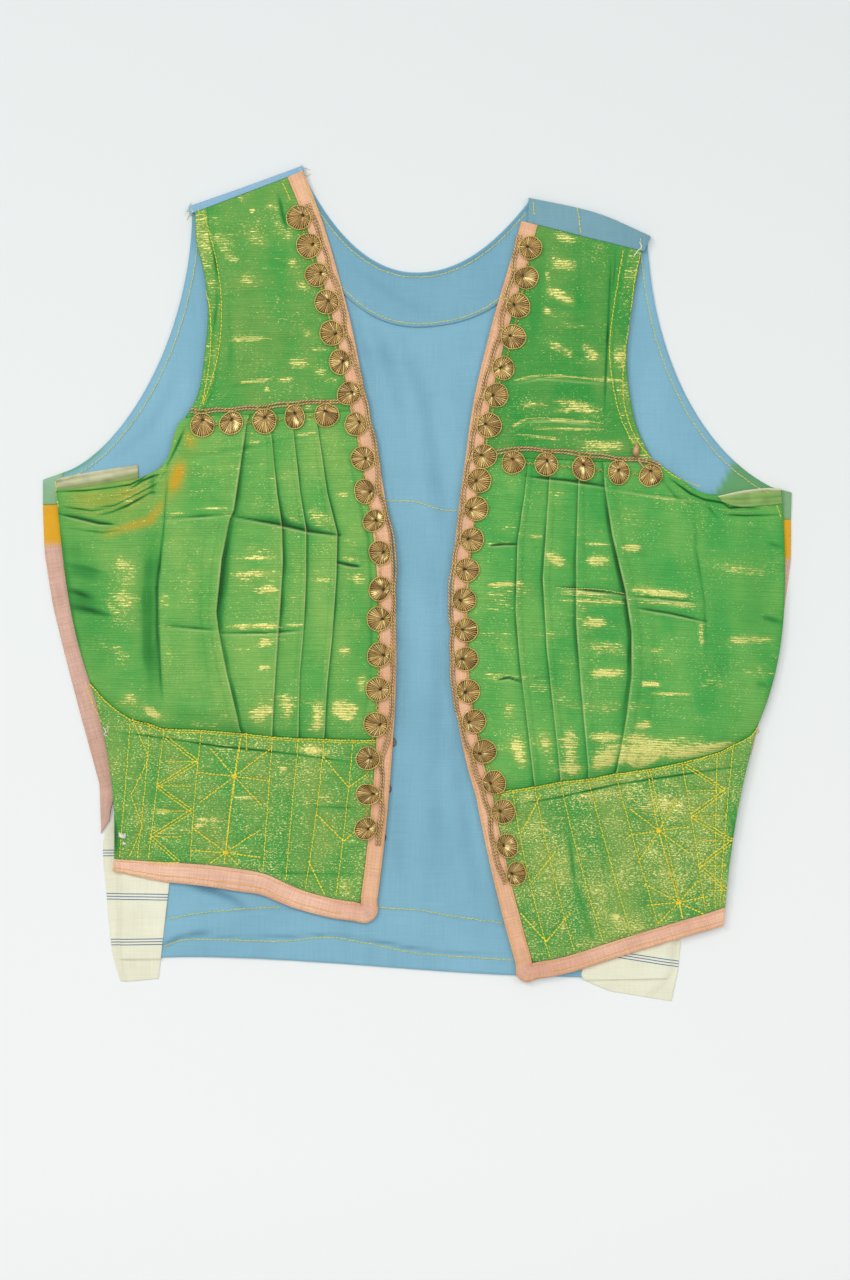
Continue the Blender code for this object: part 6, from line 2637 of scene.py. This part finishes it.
RIGHT_BAND_CREASES = (
    Mark(((514, 805), (558, 797), (616, 784), (718, 769), (746, 765)), 0.6, -0.6, 1.0),
    Mark(((520, 799), (558, 792), (616, 779), (718, 764)), 2.2, 0.25, 0.0, 0.35),
    Mark(((572, 812), (580, 880), (586, 948)), 3.2, 0.8),
    Mark(((566, 814), (574, 880), (580, 900), (597, 948)), 1.8, -0.5, 0.6),
    Mark(((596, 806), (606, 876), (614, 936)), 2.6, -0.5, 0.25),
    Mark(((728, 790), (734, 830), (727, 890)), 3.0, 0.2, 0.4),
    *gleams(((640, 800, 690, 806, 9, 0.7), (560, 800, 640, 788, 5, 0.5),
             (600, 775, 650, 768, 3, 0.9), (520, 798, 535, 796, 4, 0.9),
             (655, 865, 690, 880, 12, 0.6), (530, 850, 600, 880, 22, 0.35),
             (610, 915, 618, 918, 3, 1.2), (560, 924, 566, 926, 3, 1.0))),
)


@dataclass
class Waistcoat:
    """The whole garment, made from the table up so that each piece can rest on the last."""

    ground: Ground = field(default_factory=Ground)

    def lay(self, piece: Piece, node: str) -> None:
        """Joins a piece to the part and remembers its faces."""
        join_part(piece, node)
        self.ground.take(piece)

    def back(self) -> None:
        """Makes the back and what lies on it."""
        self.lay(BackPanel().build(), "back")
        self.lay(NeckFacing().build(), "back_neck_facing")
        for strip in (ShoulderStrip(Side.LEFT, LEFT_SHOULDER),
                      ShoulderStrip(Side.RIGHT, RIGHT_SHOULDER, (533, 579.5, 625))):
            self.lay(strip.build(), f"{strip.side.value}_shoulder_strip")
        for stud in (Stud(1, -15.6, -98), Stud(2, -18.6, -127), Stud(3, -21.8, -157)):
            self.lay(stud.build(), f"left_stud_{stud.number}")

    def sides(self) -> None:
        """Makes the lining's edges, the tails, the underarm patches and the side bindings."""
        for strip in (
            LiningStrip(Side.LEFT, ((57, 479), (80, 474), (107, 469.5), (138, 465)),
                        ((57, 497), (80, 495), (107, 491), (139, 481)), Finish.STRIP,
                        ((0.3, 0), (0.62, 0.9))),
            LiningStrip(Side.RIGHT, ((717, 496.5), (742, 491), (765, 488.5), (780, 489)),
                        ((721, 502), (738, 507), (762, 506), (781, 504)), Finish.ROLL,
                        ((0.1, 0.9), (0.22, 0)), 3.5),
        ):
            self.lay(strip.build(), f"{strip.side.value}_underarm_lining")
        for tail in (
            TailPiece(Side.LEFT, LEFT_TAIL, 4, (((98, 853), (175, 852)), ((100, 896), (175, 897)),
                                                ((104, 942), (175, 941)))),
            TailPiece(Side.RIGHT, RIGHT_TAIL, 3.2, (((610, 953), (680, 964)),)),
        ):
            self.lay(tail.build(), f"{tail.side.value}_tail")
        for node, slot, strip in (
            ("left_underarm_patch", "patch_cotton",
             SideStrip("left_patch", Side.LEFT, LEFT_SIDE, 0.0, 0.066, Finish.PATCH,
                       ((480, 0.8), (496, 0.3), (508, 0.1)), slant=4.5)),
            ("right_underarm_patch", "patch_cotton",
             SideStrip("right_patch", Side.RIGHT, RIGHT_SIDE, 0.0, 0.066, Finish.PATCH,
                       ((480, 0.2), (520, 0.1)), slant=3.0)),
            ("left_side_binding", "pink_binding",
             SideStrip("left_side_strip", Side.LEFT, LEFT_SIDE, 0.066, 0.74, Finish.SIDE_PINK,
                       ((541, 1), (548, 0)), (0.62, -7.0, 8.5))),
            ("right_side_binding", "pink_binding",
             SideStrip("right_side_strip", Side.RIGHT, RIGHT_SIDE, 0.066, 0.54, Finish.SIDE_PINK,
                       ((556, 1), (563, 0)))),
        ):
            self.lay(strip.build(), node)

    def fronts(self) -> tuple[Front, Front]:
        """Makes both fronts.

        Returns:
            The left and the right one.
        """
        fronts = (
            Front(Side.LEFT, LEFT_YOKE, LEFT_LINES, LEFT_FOLDS, LEFT_HEM_WIDTHS, LEFT_CREASES,
                  LEFT_YOKE_CREASES, LEFT_BAND_CREASES, 100),
            Front(Side.RIGHT, RIGHT_YOKE, RIGHT_LINES, RIGHT_FOLDS, RIGHT_HEM_WIDTHS,
                  RIGHT_CREASES, RIGHT_YOKE_CREASES, RIGHT_BAND_CREASES, 200, 0.45, 0.28),
        )
        for front in fronts:
            for make, node, slot in ((front.yoke, "yoke", "green_lame"),
                                     (front.bust, "bust", "green_lame"),
                                     (front.band, "band", "green_lame"),
                                     (front.edging, "edging", "pink_binding")):
                self.lay(make(), f"{front.side.value}_{node}")
        return fronts

    def trims(self) -> None:
        """Makes the cords with their rosettes, and the loose ends."""
        for trim in (
            Trim(self.ground, "left_edge_trim", "left_edge_rosettes", LEFT_EDGE_ROSETTES, 1,
                 ((308, 205), (378, 845)), (5, 6, 9, 10, 11, 12, 18, 19)),
            Trim(self.ground, "right_edge_trim", "right_edge_rosettes", RIGHT_EDGE_ROSETTES, -1,
                 ((519, 236), (505, 881)), (1, 4, 20, 21)),
            Trim(self.ground, "left_row_trim", "left_row_rosettes", LEFT_ROW_ROSETTES, 1,
                 ((191, 411), (345, 402)), (1, 3)),
            Trim(self.ground, "right_row_trim", "right_row_rosettes", RIGHT_ROW_ROSETTES, 1,
                 ((496, 453), (660, 468)), (2, 3, 4)),
        ):
            join_part(trim.build(), trim.node)
        join_part(LooseEnds(self.ground).build())

    def front_stitches(self, front: Front) -> None:
        """Sews a front's rows: yellow on the lame, gold thread as painted highlights on its crests,
        and orange on its edge.

        Args:
            front: The front.
        """
        side, shape = front.side, front.shape
        yellow = Stitching(f"{side.value}_front_stitches", Finish.YELLOW, self.ground)
        for row in front.quilting():
            yellow.sew(row)
        yellow.sew(StitchRow((), 2.0, 0.95), shape["waist"] + (0, -0.9))
        yellow.sew(StitchRow((), 2.4, 0.6), shape["waist"][SECOND_WAIST_ROW:] + (0, -2.2))
        for places in EXTRA_ROWS[side]:
            yellow.sew(StitchRow(places, 2.5, 0.66))
        # Gold thread as painted highlights along fold crests that catch the light.
        weft = Stitching(f"{side.value}_bare_weft", Finish.WEFT, self.ground, 0.95)
        for places in CREST_GLINT_LINES[side]:
            weft.sew(StitchRow(places, 1.7, 0.5, slant=0.0))
        orange = Stitching(f"{side.value}_binding_stitches", Finish.ORANGE, self.ground, 1.0, 0.6)
        for column in EDGE_STITCH_COLUMNS:
            orange.sew(StitchRow((), 2.6, 0.55), shape["edging"][column])
        orange.sew(StitchRow((), 2.6, 0.6), shape["hem_stitches"])
        for stitching in (yellow, weft, orange):
            join_part(stitching.build())

    def back_stitches(self) -> None:
        """Sews the pale rows on the blue cotton."""
        pale = Stitching("back_stitches", Finish.PALE, self.ground, 1.02, 0.5)
        for places in (
            ((167, 919), (200, 913), (240, 909), (280, 907)),
            ((376, 907), (420, 910), (447, 915), (503, 923)),
            ((164, 946), (194, 939), (279, 941), (328, 937), (378, 945), (420, 953), (514, 960)),
            ((385, 501), (415, 502), (442, 510), (457, 511)),
        ):
            pale.sew(StitchRow(places, 2.6, 0.8))
        for places in (((533, 203), (534, 216)), ((577, 209), (579, 221), (580, 235))):
            pale.sew(StitchRow(places, 2.2, 1.0))
        neck = np.concatenate([cubic(LEFT_NECK, 60)[4:-1], cubic(RIGHT_NECK, 60)[:-4]])
        for line, inset, width in (
            (cubic(LEFT_ARMHOLE, 120), -4.4, 0.75), (cubic(RIGHT_ARMHOLE, 120), -4.4, 0.75),
            (neck, -3.2, 0.75), (NeckFacing().lower()[8:-8], 2.0, 0.8),
        ):
            pale.sew(StitchRow((), 2.6, width), line + outward(line, 1) * inset)
        join_part(pale.build())

    def build(self) -> None:
        """Makes every piece."""
        self.back()
        self.sides()
        fronts = self.fronts()
        self.trims()
        for front in fronts:
            self.front_stitches(front)
        self.back_stitches()


def main() -> None:
    """Builds the setting and the garment and reports each piece."""
    logging.basicConfig(level=logging.INFO, format="%(name)s: %(message)s")
    Setting().build()
    Waistcoat().build()


if __name__ == "__main__":
    main()
